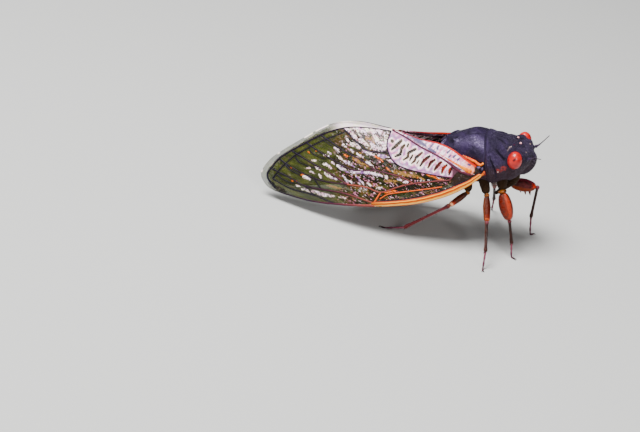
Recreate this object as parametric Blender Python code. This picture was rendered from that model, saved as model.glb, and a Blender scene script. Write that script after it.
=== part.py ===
"""A periodical cicada at life size, standing with its wings folded like a roof.

The insect is laid out in millimetres in a frame of its own: x runs forward along the body,
y to its left and z up its back, with the origin in the middle of the thorax. An empty then
tips that frame head up and stands the six feet on the ground.
"""

import math
from dataclasses import dataclass

import bmesh
import bpy
from mathutils import Matrix, Vector
from mathutils.geometry import delaunay_2d_cdt

MILLIMETRE = 0.001
GAP = 0.3  # between neighbouring parts

# How the body stands.
PITCH = math.radians(13.5)  # head up
GROUND = 13.8  # from the body's origin straight down to the ground
FORWARD_SHIFT = 12.0  # brings the middle of the whole insect over the ground's origin
HEAD_TURN = math.radians(-5.0)  # the head looks a little to its right
HEAD_ROLL = math.radians(1.8)  # and its left side is held higher
NECK_X = 3.7
LEFT_WING_DROOP = math.radians(2.2)  # the left pair of wings hangs a touch lower
LEFT_WING_TUCK = 0.8  # and its hind margin sinks beside the shield, most of all at TUCK_X
TUCK_X = -6.0
TUCK_REACH = 7.5

# Cuts that part the trunk.
COLLAR_X = 0.5  # back edge of the pronotum
WAIST_X = -6.7  # front of the abdomen
PLEURON_Z = 0.1  # lower edge of the mesonotum

# Head.
EYE_CENTRE = Vector((5.1, 3.7, 0.61))
EYE_RADII = Vector((1.08, 1.12, 1.34))
EYE_TILT = math.radians(12.0)
FACE_CENTRE = Vector((5.85, 0.0, -1.35))
FACE_RADII = Vector((1.5, 1.7, 2.2))
FACE_TILT = math.radians(40.0)
SWELLINGS = (  # centre and radii of the brow beside an eye, the ledge before it and the antenna's seat
    (Vector((4.8, 2.2, 1.3)), Vector((1.05, 1.0, 0.8))),
    (Vector((5.85, 2.2, 0.75)), Vector((0.9, 0.9, 0.7))),
    (Vector((6.4, 2.0, 0.2)), Vector((0.6, 0.6, 0.5))),
)
BEAK = ((4.1, 0.0, -4.45), (2.9, 0.0, -5.2), (0.9, 0.0, -6.7))
BEAK_RADII = ((0, 0.62), (0.4, 0.5), (1, 0.28))
FEELER_ROOT = (6.9, 2.3, 0.15)
FEELER_BEND = (7.7, 2.6, 0.55)
FEELER_TIPS = {"left": (9.0, 3.7, 1.5), "right": (8.9, 2.9, 0.5)}
FEELER_RADII = ((0, 0.34), (0.22, 0.25), (0.45, 0.17), (1, 0.09))

# Wings. A half thickness is measured from the wing's middle surface.
MEMBRANE_HALF = 0.25
VEIN_RISE = 0.12
VEIN_REACH = 0.28
COSTAL_HALF = 0.45  # of the strong front edge, from the hinge to the node
APICAL_HALF = 0.34  # and from the node to the apex
NODE_X = -16.5
APEX_X = -31.0
MARGIN_GAP = 0.5  # from the middle plane to the ridge of the folded wings
HINDWING_DEPTH = 1.02  # from the forewing's middle surface in to the hindwing's
WING_HINGE = Vector((-0.5, 0.0, -1.0))
NET_GRID = 2.0
VEIN_STEP = 1.9
OUTLINE_STEP = 1.25
MERGE_WITHIN = 0.02


@dataclass(frozen=True)
class Finish:
    """Colour, roughness and metallic value of one part of the cuticle."""

    name: str
    colour: tuple
    roughness: float
    alpha: float = 1.0


BLACK_CUTICLE = Finish("black_cuticle", (0.012, 0.012, 0.03), 0.3)
EYE_RED = Finish("eye_red", (0.75, 0.03, 0.01), 0.18)
RUSTY_LEG = Finish("rusty_leg", (0.4, 0.09, 0.02), 0.35)
DARK_LEG = Finish("dark_leg", (0.06, 0.02, 0.02), 0.4)
BELLY = Finish("belly", (0.16, 0.05, 0.015), 0.4)
WING = Finish("wing", (0.75, 0.55, 0.3), 0.25, 0.55)


@dataclass(frozen=True)
class Station:
    """One cross section of a lofted body: where it is and how far it reaches."""

    x: float
    top: float
    bottom: float
    half_width: float


# The trunk from the neck to the waist, with the raised collar at the back of the pronotum.
TRUNK = (
    Station(4.4, 2.2, -3.2, 3.3),
    Station(3.6, 2.62, -3.5, 3.85),
    Station(2.4, 3.06, -3.8, 4.35),
    Station(1.5, 3.22, -4.0, 4.5),
    Station(0.9, 3.4, -4.0, 4.7),
    Station(0.3, 3.65, -4.0, 4.4),
    Station(-1.2, 4.06, -4.05, 3.95),
    Station(-3.0, 3.75, -4.1, 3.6),
    Station(-4.8, 3.16, -4.2, 3.25),
    Station(-6.5, 2.1, -4.3, 3.0),
)
ABDOMEN = (
    Station(-6.4, 1.6, -4.4, 2.85),
    Station(-8.0, 1.1, -4.55, 2.9),
    Station(-10.5, 0.9, -4.7, 3.0),
    Station(-14.0, 0.7, -4.6, 2.8),
    Station(-17.0, 0.3, -4.2, 2.3),
    Station(-19.4, -0.4, -3.5, 1.5),
    Station(-20.8, -1.0, -2.8, 0.8),
    Station(-21.4, -1.5, -2.2, 0.3),
)
SEGMENTS = 8  # rings of the abdomen
SEGMENT_GROOVE = 0.14  # depth of the crease behind each ring
RING_SHARES = (0.12, 0.3, 0.7, 1.0)  # where a ring has its cross sections, from its back edge
TIP_SHARES = (0.35, 0.6, 0.8, 1.0)  # and the last ring, at the tip

# The cross-shaped ridge at the back of the mesonotum: where its arms start, meet and end.
CROSS_FRONT = (-4.3, 1.75)
CROSS_MIDDLE = (-5.5, 0.0)
CROSS_BACK = (-6.6, 1.25)
CROSS_RADIUS = 0.6
CROSS_SUNK = 0.34  # of an arm's middle line under the surface

# The head capsule, without the swollen face.
HEAD = (
    Station(2.6, 2.9, -3.7, 3.5),
    Station(3.6, 2.6, -3.75, 3.8),
    Station(4.6, 2.2, -3.3, 3.75),
    Station(5.6, 1.65, -2.5, 3.1),
    Station(6.4, 1.2, -1.8, 2.3),
    Station(7.0, 0.75, -1.2, 1.4),
    Station(7.3, 0.35, -0.6, 0.5),
)


def grown(stations, extra):
    """The same cross sections, larger by an extra width all round."""
    return [Station(s.x, s.top + extra, s.bottom - extra, s.half_width + extra) for s in stations]


def smooth_value(knots, x):
    """Value at x of a smooth curve through (x, value) knots given in rising order."""
    last = len(knots) - 1

    def slope(i):
        before, after = knots[max(i - 1, 0)], knots[min(i + 1, last)]
        return (after[1] - before[1]) / (after[0] - before[0])

    x = min(max(x, knots[0][0]), knots[last][0])
    i = max(k for k in range(last) if knots[k][0] <= x)
    (x0, y0), (x1, y1) = knots[i], knots[i + 1]
    span = x1 - x0
    t = (x - x0) / span
    return (
        y0 * (2 * t**3 - 3 * t**2 + 1)
        + slope(i) * span * (t**3 - 2 * t**2 + t)
        + y1 * (3 * t**2 - 2 * t**3)
        + slope(i + 1) * span * (t**3 - t**2)
    )


def smooth_path(points, step):
    """Points about one step apart on a Catmull-Rom curve through the given points."""
    points = [Vector(p) for p in points]
    ends = [2 * points[0] - points[1], *points, 2 * points[-1] - points[-2]]
    path = []
    for a, b, c, d in zip(ends, ends[1:], ends[2:], ends[3:]):
        pieces = max(1, round((c - b).length / step))
        for k in range(pieces):
            t = k / pieces
            square = (2 * a - 5 * b + 4 * c - d) * t**2
            cube = (3 * b - a - 3 * c + d) * t**3
            path.append(0.5 * (2 * b + (c - a) * t + square + cube))
    path.append(points[-1])
    return path


def finish_material(finish):
    """The material of a finish, made once."""
    material = bpy.data.materials.get(finish.name)
    if material is None:
        material = bpy.data.materials.new(finish.name)
        material.use_nodes = True
        shader = material.node_tree.nodes["Principled BSDF"]
        shader.inputs["Base Color"].default_value = (*finish.colour, 1.0)
        shader.inputs["Roughness"].default_value = finish.roughness
        shader.inputs["Metallic"].default_value = 0.0
        shader.inputs["Alpha"].default_value = finish.alpha
    return material


class Assembly:
    """The collection that holds the parts, and the empty that carries them."""

    def __init__(self, name):
        self.collection = bpy.data.collections.new(name)
        bpy.context.scene.collection.children.link(self.collection)
        self.carrier = bpy.data.objects.new("stance", None)
        self.carrier.rotation_euler = (0.0, -PITCH, 0.0)
        self.carrier.location = (FORWARD_SHIFT * MILLIMETRE, 0.0, GROUND * MILLIMETRE)
        self.collection.objects.link(self.carrier)

    def add(self, name, shape, finish):
        """Turns a bmesh in millimetres into a named part that the stance carries."""
        bmesh.ops.transform(shape, matrix=Matrix.Scale(MILLIMETRE, 4), verts=shape.verts)
        mesh = bpy.data.meshes.new(name)
        shape.to_mesh(mesh)
        shape.free()
        mesh.shade_smooth()
        mesh.set_sharp_from_angle(angle=math.radians(40))
        mesh.materials.append(finish_material(finish))
        part = bpy.data.objects.new(name, mesh)
        part.parent = self.carrier
        self.collection.objects.link(part)


def loft(stations, sides=28, rings=2, squareness=2.3):
    """A closed bmesh through oval cross sections, with extra rings between the stations."""
    ordered = sorted(stations, key=lambda s: s.x)
    curves = [[(s.x, getattr(s, field)) for s in ordered] for field in ("top", "bottom", "half_width")]
    places = [ordered[0].x]
    for here, after in zip(ordered, ordered[1:]):
        places += [here.x + (after.x - here.x) * (k + 1) / rings for k in range(rings)]
    shape = bmesh.new()
    loops = []
    for x in places:
        top, bottom, half_width = (smooth_value(curve, x) for curve in curves)
        middle, reach = (top + bottom) / 2, (top - bottom) / 2
        ring = []
        for k in range(sides):
            angle = math.tau * k / sides
            y = math.copysign(abs(math.cos(angle)) ** (2 / squareness), math.cos(angle))
            z = math.copysign(abs(math.sin(angle)) ** (2 / squareness), math.sin(angle))
            ring.append(shape.verts.new((x, half_width * y, middle + reach * z)))
        loops.append(ring)
    for back, front in zip(loops, loops[1:]):
        for k in range(sides):
            after = (k + 1) % sides
            shape.faces.new((back[k], back[after], front[after], front[k]))
    shape.faces.new(reversed(loops[0]))
    shape.faces.new(loops[-1])
    bmesh.ops.recalc_face_normals(shape, faces=shape.faces)
    return shape


def ball(centre, radii, tilt=0.0, grow=0.0, segments=18, rings=12):
    """An egg with the given radii, tipped about the sideways axis."""
    shape = bmesh.new()
    bmesh.ops.create_uvsphere(shape, u_segments=segments, v_segments=rings, radius=1.0)
    size = Matrix.Diagonal((*(radii + Vector((grow, grow, grow))), 1.0))
    place = Matrix.Translation(centre) @ Matrix.Rotation(tilt, 4, "Y") @ size
    bmesh.ops.transform(shape, matrix=place, verts=shape.verts)
    return shape


def limb(path, radii, sides=10):
    """A closed tube along a path whose radius follows (share of length, radius) knots."""
    curve = bpy.data.curves.new("limb", "CURVE")
    curve.dimensions = "3D"
    curve.bevel_depth = 1.0
    curve.bevel_resolution = (sides - 4) // 2
    curve.use_fill_caps = True
    spline = curve.splines.new("POLY")
    spline.points.add(len(path) - 1)
    lengths = [0.0]
    for a, b in zip(path, path[1:]):
        lengths.append(lengths[-1] + (b - a).length)
    for point, place, length in zip(spline.points, path, lengths):
        point.co = (*place, 1.0)
        point.radius = smooth_value(radii, length / lengths[-1])
    carrier = bpy.data.objects.new("limb", curve)
    bpy.context.scene.collection.objects.link(carrier)
    graph = bpy.context.evaluated_depsgraph_get()
    mesh = bpy.data.meshes.new_from_object(carrier.evaluated_get(graph))
    bpy.data.objects.remove(carrier)
    bpy.data.curves.remove(curve)
    shape = bmesh.new()
    shape.from_mesh(mesh)
    bpy.data.meshes.remove(mesh)
    bmesh.ops.remove_doubles(shape, verts=shape.verts, dist=0.0001)
    bmesh.ops.recalc_face_normals(shape, faces=shape.faces)
    return shape


def trim(shape, point, outward):
    """Cuts away what lies beyond a plane and closes the cut."""
    everything = shape.verts[:] + shape.edges[:] + shape.faces[:]
    bmesh.ops.bisect_plane(
        shape, geom=everything, dist=1e-6, plane_co=point, plane_no=outward, clear_outer=True
    )
    rim = [edge for edge in shape.edges if edge.is_boundary]
    if rim:
        bmesh.ops.edgeloop_fill(shape, edges=rim)
    bmesh.ops.recalc_face_normals(shape, faces=shape.faces)
    return shape


def combine(base, others, operation, solver="EXACT"):
    """The base with each other shape joined to it or cut from it; all are closed."""
    holders = []
    for shape in (base, *others):
        mesh = bpy.data.meshes.new("operand")
        shape.to_mesh(mesh)
        shape.free()
        holder = bpy.data.objects.new("operand", mesh)
        bpy.context.scene.collection.objects.link(holder)
        holders.append(holder)
    for other in holders[1:]:
        step = holders[0].modifiers.new("combine", "BOOLEAN")
        step.operation = operation
        step.solver = solver
        step.object = other
    graph = bpy.context.evaluated_depsgraph_get()
    mesh = bpy.data.meshes.new_from_object(holders[0].evaluated_get(graph))
    result = bmesh.new()
    result.from_mesh(mesh)
    bpy.data.meshes.remove(mesh)
    for holder in holders:
        bpy.data.meshes.remove(holder.data)
    return result


def turn_head(shape):
    """Turns a shape of the head about the neck."""
    neck = Matrix.Translation((NECK_X, 0.0, 0.0))
    turn = Matrix.Rotation(HEAD_TURN, 4, "Z") @ Matrix.Rotation(HEAD_ROLL, 4, "X")
    place = neck @ turn @ neck.inverted()
    bmesh.ops.transform(shape, matrix=place, verts=shape.verts)
    return shape


def mirrored(place, side):
    """The place on the left for side 1, or on the right for side -1."""
    return Vector((place[0], side * place[1], place[2]))


def feeler_shape(name, side, grow=0.0):
    """An antenna, or with a growth the seat that it needs in the head."""
    path = smooth_path([mirrored(place, side) for place in (FEELER_ROOT, FEELER_BEND, FEELER_TIPS[name])], 0.8)
    path[0] -= (path[1] - path[0]).normalized() * grow
    return limb(path, [(share, radius + grow) for share, radius in FEELER_RADII], sides=8)


def add_head(insect):
    """Capsule, swollen face, beak, eyes and antennae."""
    sockets = [ball(mirrored(EYE_CENTRE, side), EYE_RADII, EYE_TILT, GAP) for side in (1, -1)]
    face_hollow = ball(FACE_CENTRE, FACE_RADII, FACE_TILT, GAP)
    nape = Vector((NECK_X + GAP / 2, 0.0, 0.0))
    backward = Vector((-1.0, 0.0, 0.0))
    swellings = [ball(mirrored(centre, side), radii) for centre, radii in SWELLINGS for side in (1, -1)]
    capsule = combine(loft(HEAD, sides=24), swellings, "UNION")
    capsule = trim(capsule, nape, backward)
    seats = [feeler_shape(name, side, GAP) for name, side in (("left", 1), ("right", -1))]
    capsule = combine(capsule, [*sockets, *seats, face_hollow], "DIFFERENCE")
    insect.add("head", turn_head(capsule), BLACK_CUTICLE)
    face = trim(ball(FACE_CENTRE, FACE_RADII, FACE_TILT), nape, backward)
    insect.add("clypeus", turn_head(face), BLACK_CUTICLE)
    insect.add("rostrum", turn_head(limb(smooth_path(BEAK, 1.0), BEAK_RADII)), BLACK_CUTICLE)
    for name, side in (("left", 1), ("right", -1)):
        eye = ball(mirrored(EYE_CENTRE, side), EYE_RADII, EYE_TILT)
        insect.add(f"eye_{name}", turn_head(eye), EYE_RED)
        insect.add(f"antenna_{name}", turn_head(feeler_shape(name, side)), DARK_LEG)


def creased(stations):
    """The abdomen's cross sections cut into rings, each with a shallow crease behind it."""
    ordered = sorted(stations, key=lambda s: s.x)
    back, front = ordered[0].x, ordered[-1].x

    curves = [[(s.x, getattr(s, field)) for s in ordered] for field in ("top", "bottom", "half_width")]

    def section(x, extra):
        return grown([Station(x, *(smooth_value(curve, x) for curve in curves))], extra)[0]

    length = (front - back) / SEGMENTS
    rings = [section(back, 0.0)]
    for k in range(SEGMENTS):
        start = back + length * k
        for share in RING_SHARES if k else TIP_SHARES:
            crease = -SEGMENT_GROOVE if share == 1.0 and k < SEGMENTS - 1 else 0.0
            rings.append(section(start + length * share, crease))
    return rings


def surface_height(stations, x, y, squareness=2.3):
    """Height of the upper surface of a lofted body over a place."""
    top, bottom, half_width = (
        smooth_value(sorted((s.x, getattr(s, field)) for s in stations), x)
        for field in ("top", "bottom", "half_width")
    )
    middle, reach = (top + bottom) / 2, (top - bottom) / 2
    return middle + reach * (1.0 - min(abs(y) / half_width, 1.0) ** squareness) ** (1 / squareness)


def cross_ridge():
    """The two crossed arms that rise from the back of the mesonotum."""
    arms = []
    for side in (1, -1):
        front, back = (CROSS_FRONT[0], side * CROSS_FRONT[1]), (CROSS_BACK[0], -side * CROSS_BACK[1])
        ends = (front, CROSS_MIDDLE, back)
        path = [Vector((x, y, surface_height(TRUNK, x, y) - CROSS_SUNK)) for x, y in ends]
        radii = [(0, CROSS_RADIUS * 0.6), (0.5, CROSS_RADIUS), (1, CROSS_RADIUS * 0.7)]
        arms.append(limb(smooth_path(path, 0.6), radii, sides=8))
    return arms


def add_trunk(insect):
    """Pronotum, mesonotum with its cross-shaped ridge, underside and abdomen."""
    forward = Vector((1.0, 0.0, 0.0))
    half_gap = GAP / 2
    collar, waist = forward * COLLAR_X, forward * WAIST_X
    turned = Matrix.Rotation(HEAD_TURN, 3, "Z") @ forward
    pronotum = trim(loft(TRUNK), forward * NECK_X - turned * half_gap, turned)
    pronotum = trim(pronotum, collar + forward * half_gap, -forward)
    insect.add("pronotum", pronotum, BLACK_CUTICLE)

    pleuron = Vector((0.0, 0.0, PLEURON_Z))
    up = Vector((0.0, 0.0, 1.0))
    middle = trim(loft(TRUNK), collar - forward * half_gap, forward)
    underside = trim(middle.copy(), pleuron - up * half_gap, up)
    insect.add("thorax", underside, BLACK_CUTICLE)
    shield = combine(trim(middle, pleuron + up * half_gap, -up), cross_ridge(), "UNION")
    shield = trim(shield, waist + forward * half_gap, -forward)
    insect.add("mesonotum", shield, BLACK_CUTICLE)

    abdomen = trim(loft(creased(ABDOMEN), sides=24, rings=1), waist - forward * half_gap, forward)
    insect.add("abdomen", abdomen, BELLY)


@dataclass(frozen=True)
class Leg:
    """Joints of one leg from its root to the ankle, and where its foot stands."""

    root: tuple
    trochanter: tuple
    knee: tuple
    ankle: tuple
    foot: tuple  # x and y; the ground gives the height
    coxa_radius: float
    femur_radius: float


LEGS = {
    "front_right": Leg((2.5, -2.0, -2.6), (2.5, -2.8, -4.75), (3.55, -4.2, -9.3), (3.7, -4.45, -12.7),
                       (3.6, -4.7), 0.8, 0.95),
    "front_left": Leg((2.5, 2.0, -2.6), (2.75, 2.6, -5.8), (7.05, 3.4, -6.95), (5.75, 4.0, -12.2),
                      (5.45, 4.4), 0.8, 0.95),
    "middle_right": Leg((-0.35, -2.3, -2.55), (0.35, -4.0, -4.85), (0.5, -6.7, -8.15), (0.5, -9.7, -11.6),
                        (0.05, -10.5), 0.75, 0.6),
    "middle_left": Leg((-0.3, 2.4, -2.6), (0.35, 4.0, -4.85), (0.0, 6.7, -8.15), (-0.6, 9.4, -11.5),
                       (-1.2, 10.3), 0.75, 0.6),
    "hind_right": Leg((-2.9, -2.1, -2.6), (-2.4, -3.6, -4.6), (-5.1, -5.5, -6.0), (-12.4, -4.9, -9.9),
                      (-15.6, -4.2), 0.75, 0.55),
    "hind_left": Leg((-2.9, 2.1, -2.6), (-2.4, 3.6, -4.6), (-5.0, 5.6, -6.0), (-12.2, 5.4, -9.8),
                     (-15.3, 5.0), 0.75, 0.55),
}

COXA_TAPER = (1.1, 0.8)  # share of the coxa's radius at the body and at its end
FEMUR_START = 0.6  # share of the femur's radius at the trochanter
KNEE_RADIUS = 0.45
TIBIA_RADII = ((0, 0.42), (0.3, 0.33), (1, 0.33))
TARSUS_RADII = ((0, 0.3), (0.7, 0.28), (1, 0.3))
JOINT_OVERSHOOT = 0.5  # each segment is made longer by this before its mitred cuts
SOLE_HEIGHT = 0.12  # of the toe's middle line over the ground
TOE_LENGTH = 0.7
SPINE_PLACES = ((0.42, 0.4), (0.58, 0.6), (0.74, 0.6))  # along the front femur: share of its length, height
SPINE_RADII = ((0, 0.39), (1, 0.1))
SPINE_LEAN = 0.35  # towards the knee


def on_ground(x, y, height):
    """The point of the body's frame that stands at a height over the ground."""
    z = (height - GROUND - x * math.sin(PITCH)) / math.cos(PITCH)
    return Vector((x, y, z))


def femur_spines(knee_side, start, end, radius):
    """The row of thorns under a front femur, on the side that the tibia folds towards."""
    along = (end - start).normalized()
    under = (knee_side - along * knee_side.dot(along)).normalized()
    thorns = []
    for share, height in SPINE_PLACES:
        root = start.lerp(end, share) + under * radius * 0.4
        tip = root + (under + along * SPINE_LEAN).normalized() * (radius * 0.6 + height)
        thorns.append(limb([root, root.lerp(tip, 0.5), tip], SPINE_RADII, sides=6))
    return thorns


def add_leg(insect, name, leg):
    """Coxa, femur, tibia and tarsus, parted by mitred cuts at the joints."""
    up = Vector((math.sin(PITCH), 0.0, math.cos(PITCH)))
    heel = on_ground(*leg.foot, SOLE_HEIGHT)
    ankle = Vector(leg.ankle)
    along = heel - ankle
    along -= up * along.dot(up)
    toe = heel + along.normalized() * TOE_LENGTH
    joints = [Vector(leg.root), Vector(leg.trochanter), Vector(leg.knee), ankle, heel]
    axes = [(b - a).normalized() for a, b in zip(joints, joints[1:])]
    femur_radii = ((0, leg.femur_radius * FEMUR_START), (0.5, leg.femur_radius), (1, KNEE_RADIUS))
    segments = (
        ("coxa", [(share, leg.coxa_radius * taper) for share, taper in enumerate(COXA_TAPER)], BLACK_CUTICLE),
        ("femur", femur_radii, RUSTY_LEG),
        ("tibia", TIBIA_RADII, DARK_LEG),
        ("tarsus", TARSUS_RADII, DARK_LEG),
    )
    for k, (segment, radii, finish) in enumerate(segments):
        start, end = joints[k], joints[k + 1]
        first = start - axes[k] * JOINT_OVERSHOOT if k else start
        path = [first + (end + axes[k] * JOINT_OVERSHOOT - first) * t / 6 for t in range(7)]
        if segment == "tarsus":
            path = smooth_path([first, ankle + along * 0.02, heel, toe], 0.7)
        shape = limb(path, radii)
        if k:
            plane = (axes[k - 1] + axes[k]).normalized()
            shape = trim(shape, start + plane * GAP / 2, -plane)
        if k < 3:
            plane = (axes[k] + axes[k + 1]).normalized()
            shape = trim(shape, end - plane * GAP / 2, plane)
        if segment == "coxa":
            shape = combine(shape, [loft(grown(TRUNK, GAP))], "DIFFERENCE", "MANIFOLD")
        if segment == "femur" and name.startswith("front"):
            thorns = femur_spines(axes[k + 1] - axes[k], start, end, leg.femur_radius)
            shape = combine(shape, thorns, "UNION")
        if segment == "tarsus":
            shape = trim(shape, -up * GROUND, -up)
        insect.add(f"{segment}_{name}", shape, finish)


# The folded wings are one roof. Each line gives (distance behind the origin, value).
ROOF_RIDGE = [(0, 6.2), (7, 4.7), (15, 4.5), (22, 5.4), (29, 3.4), (35, -1.0)]
ROOF_EAVES = [(0, -2.6), (7, -4.7), (15, -5.8), (22, -5.9), (29, -5.0), (35, -2.6)]
ROOF_SPREAD = [(0, 4.4), (7, 5.9), (15, 6.4), (22, 5.2), (29, 3.2), (35, 1.2)]
ROOF_CROWN = [(0, 2.6), (7, 2.4), (15, 1.9), (22, 1.6), (29, 1.4), (35, 1.3)]

FOREWING_OUTLINE = [
    (-0.2, -1.7), (-2.4, -3.0), (-6.0, -4.3), (-10.5, -5.2), (-16.0, -5.6), (-21.0, -5.8), (-26.0, -5.85),
    (-29.5, -5.45), (-32.0, -5.0), (-33.8, -4.35), (-34.7, -3.1), (-34.85, -2.1), (-34.1, -1.0), (-32.4, 0.5),
    (-28.2, 3.0), (-23.4, 5.3), (-19.0, 5.7), (-14.0, 4.5), (-9.5, 3.4), (-6.6, 3.0), (-4.4, 2.35),
    (-2.4, 1.15), (-0.8, 0.05), (-0.2, -1.7),
]
FOREWING_VEINS = {
    "ambient": [
        (-32.4, -4.45), (-33.8, -2.6), (-32.9, -1.2), (-31.3, 0.4), (-27.3, 2.6), (-23.8, 4.2), (-20.0, 4.9),
        (-14.0, 4.2),
    ],
    "claval": [(-13.9, 4.2), (-10.5, 2.65), (-6.7, 1.3), (-3.9, 0.0), (-1.6, -1.2)],
    "cubital": [(-14.0, 4.2), (-14.4, 2.4), (-12.6, 0.3), (-7.4, -0.9), (-4.4, -1.4)],
    "first_branch": [(-21.3, 4.8), (-19.0, 2.9), (-17.3, 1.9), (-14.4, 1.8)],
    "second_branch": [(-24.8, 3.8), (-21.5, 2.1), (-18.0, 0.6), (-16.2, -0.5), (-10.7, -1.9)],
    "branch_link": [(-17.3, 1.9), (-18.0, 0.6)],
    "third_branch": [(-27.3, 2.7), (-24.6, 1.4), (-19.8, -0.5), (-16.2, -0.5)],
    "fourth_branch": [(-29.7, 1.4), (-26.9, 0.2), (-22.5, -1.6), (-20.5, -2.6)],
    "fifth_branch": [(-31.7, 0.0), (-28.6, -1.4), (-24.7, -2.4), (-20.5, -2.6)],
    "sixth_branch": [(-33.2, -1.4), (-30.2, -2.4), (-27.2, -3.5), (-21.2, -3.9), (-16.5, -5.0)],
    "seventh_branch": [(-32.9, -2.9), (-29.8, -4.1), (-26.0, -4.7), (-22.8, -5.6)],
    "media": [(-20.5, -2.6), (-17.5, -2.8), (-15.2, -3.4), (-10.2, -2.3), (-4.4, -1.5)],
    "upper_cross": [(-26.0, -2.1), (-24.8, -3.7)],
    "lower_cross": [(-27.4, -3.5), (-26.0, -4.7)],
    "nodal": [(-15.2, -3.4), (-16.5, -5.3)],
    "radial": [(-15.4, -4.2), (-9.9, -3.3), (-5.7, -2.8)],
}
HINDWING_OUTLINE = [
    (-4.6, -1.6), (-8.0, -3.1), (-13.0, -4.2), (-18.0, -4.1), (-21.2, -2.8), (-22.0, -1.0), (-20.4, 0.8),
    (-16.0, 1.7), (-11.0, 1.5), (-7.0, 0.9), (-4.6, -0.2), (-4.6, -1.6),
]
HINDWING_VEINS = {
    "radius": [(-4.6, -1.3), (-12.0, -2.9), (-21.3, -2.0)],
    "media": [(-4.6, -0.9), (-13.0, -1.3), (-21.8, -0.9)],
    "cubitus": [(-4.6, -0.7), (-12.0, 0.3), (-19.0, 1.2)],
}


def roof_point(x, z):
    """The middle surface of the right forewing over the side-view place (x, z)."""
    back = -x
    ridge, eaves = smooth_value(ROOF_RIDGE, back), smooth_value(ROOF_EAVES, back)
    spread, crown = smooth_value(ROOF_SPREAD, back), smooth_value(ROOF_CROWN, back)
    fall = min(max((ridge - z) / (ridge - eaves), 0.0), 1.0)
    return Vector((x, -MARGIN_GAP - spread * (1.0 - (1.0 - fall) ** crown), z))


def roof_normal(x, z):
    """The outward direction of the right forewing there."""
    step = 0.1
    along = roof_point(x + step, z) - roof_point(x - step, z)
    upward = roof_point(x, z + step) - roof_point(x, z - step)
    return along.cross(upward).normalized()


def distance_to_line(place, line):
    """How far a flat place is from a polyline."""
    nearest = math.inf
    for a, b in zip(line, line[1:]):
        run = b - a
        t = min(max((place - a).dot(run) / run.length_squared, 0.0), 1.0)
        nearest = min(nearest, (place - a - run * t).length)
    return nearest


def shifted_line(line, offset):
    """A polyline moved sideways by an offset."""
    moved = []
    for k, place in enumerate(line):
        run = (line[min(k + 1, len(line) - 1)] - line[max(k - 1, 0)]).normalized()
        moved.append(place + Vector((-run.y, run.x)) * offset)
    return moved


def tucked(place, depth):
    """A flat place of the wing, sunk where its hind margin hugs the shield."""
    near = max(0.0, 1.0 - abs(place.x - TUCK_X) / TUCK_REACH)
    share = max(0.0, (place.y - WING_HINGE.z) / 4.0)
    return Vector((place.x, place.y - depth * near * share))


def wing_net(outline, veins):
    """Flat places and triangles that follow the outline, every vein and its two foot lines."""
    places = list(outline[:-1])
    faces = [list(range(len(places)))]
    edges = []
    for line in veins:
        for offset in (0.0, VEIN_REACH, -VEIN_REACH):
            first = len(places)
            places += shifted_line(line, offset)
            edges += [(k, k + 1) for k in range(first, len(places) - 1)]
    lowest = [min(p[axis] for p in outline) for axis in (0, 1)]
    highest = [max(p[axis] for p in outline) for axis in (0, 1)]
    columns, rows = (round((highest[axis] - lowest[axis]) / NET_GRID) for axis in (0, 1))
    for i in range(columns):
        for j in range(rows):
            place = Vector((lowest[0] + (i + 0.5) * NET_GRID, lowest[1] + (j + 0.5) * NET_GRID))
            if min(distance_to_line(place, line) for line in (*veins, outline)) > NET_GRID * 0.45:
                places.append(place)
    inside_only = 1
    flat, _, triangles, *_ = delaunay_2d_cdt(places, edges, faces, inside_only, MERGE_WITHIN)
    return flat, triangles


def wing_shape(outline, veins, depth, thick_edge, side):
    """A closed vane on the roof, with every vein raised on both faces."""
    droop, tuck = (LEFT_WING_DROOP, LEFT_WING_TUCK) if side > 0 else (0.0, 0.0)
    outline = smooth_path(outline, OUTLINE_STEP)
    veins = [smooth_path(line, VEIN_STEP) for line in veins.values()]
    flat, triangles = wing_net(outline, veins)
    shape = bmesh.new()
    layers = {1: [], -1: []}
    for place in flat:
        near = min(distance_to_line(place, line) for line in veins)
        half = MEMBRANE_HALF + VEIN_RISE * max(0.0, 1.0 - near / VEIN_REACH)
        half = max(half, thick_edge(place, distance_to_line(place, outline)))
        place = tucked(place, tuck)
        middle, out = roof_point(*place), roof_normal(*place)
        for face in (1, -1):
            layers[face].append(shape.verts.new(middle + out * (face * half - depth)))
    sides = {}
    for triangle in triangles:
        shape.faces.new([layers[1][k] for k in triangle])
        shape.faces.new([layers[-1][k] for k in reversed(triangle)])
        for a, b in zip(triangle, (*triangle[1:], triangle[0])):
            sides[(a, b)] = True
    for a, b in sides:
        if (b, a) not in sides:
            shape.faces.new((layers[1][b], layers[1][a], layers[-1][a], layers[-1][b]))
    bmesh.ops.delete(shape, geom=[v for v in shape.verts if not v.link_faces], context="VERTS")
    if side > 0:
        bmesh.ops.scale(shape, vec=(1.0, -1.0, 1.0), verts=shape.verts)
    hinge = Matrix.Translation(WING_HINGE)
    place = hinge @ Matrix.Rotation(-droop, 4, "Y") @ hinge.inverted()
    bmesh.ops.transform(shape, matrix=place, verts=shape.verts)
    bmesh.ops.triangulate(shape, faces=shape.faces)
    bmesh.ops.recalc_face_normals(shape, faces=shape.faces)
    return shape


def costal_edge(place, inland):
    """Half thickness along the forewing's strong front edge, which thins past the node."""
    half = COSTAL_HALF if place.x > NODE_X else APICAL_HALF
    return half if place.y < WING_HINGE.z and place.x > APEX_X and inland < 0.05 else 0.0


def plain_edge(_place, _inland):
    """A margin no thicker than the membrane."""
    return 0.0


FOREWING_KNOB = ((-1.3, 5.1, -1.1), (-0.9, 3.0, -0.9), 0.62)
HINDWING_KNOB = ((-5.3, 4.3, -0.9), (-4.9, 2.0, -0.8), 0.42)


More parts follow.
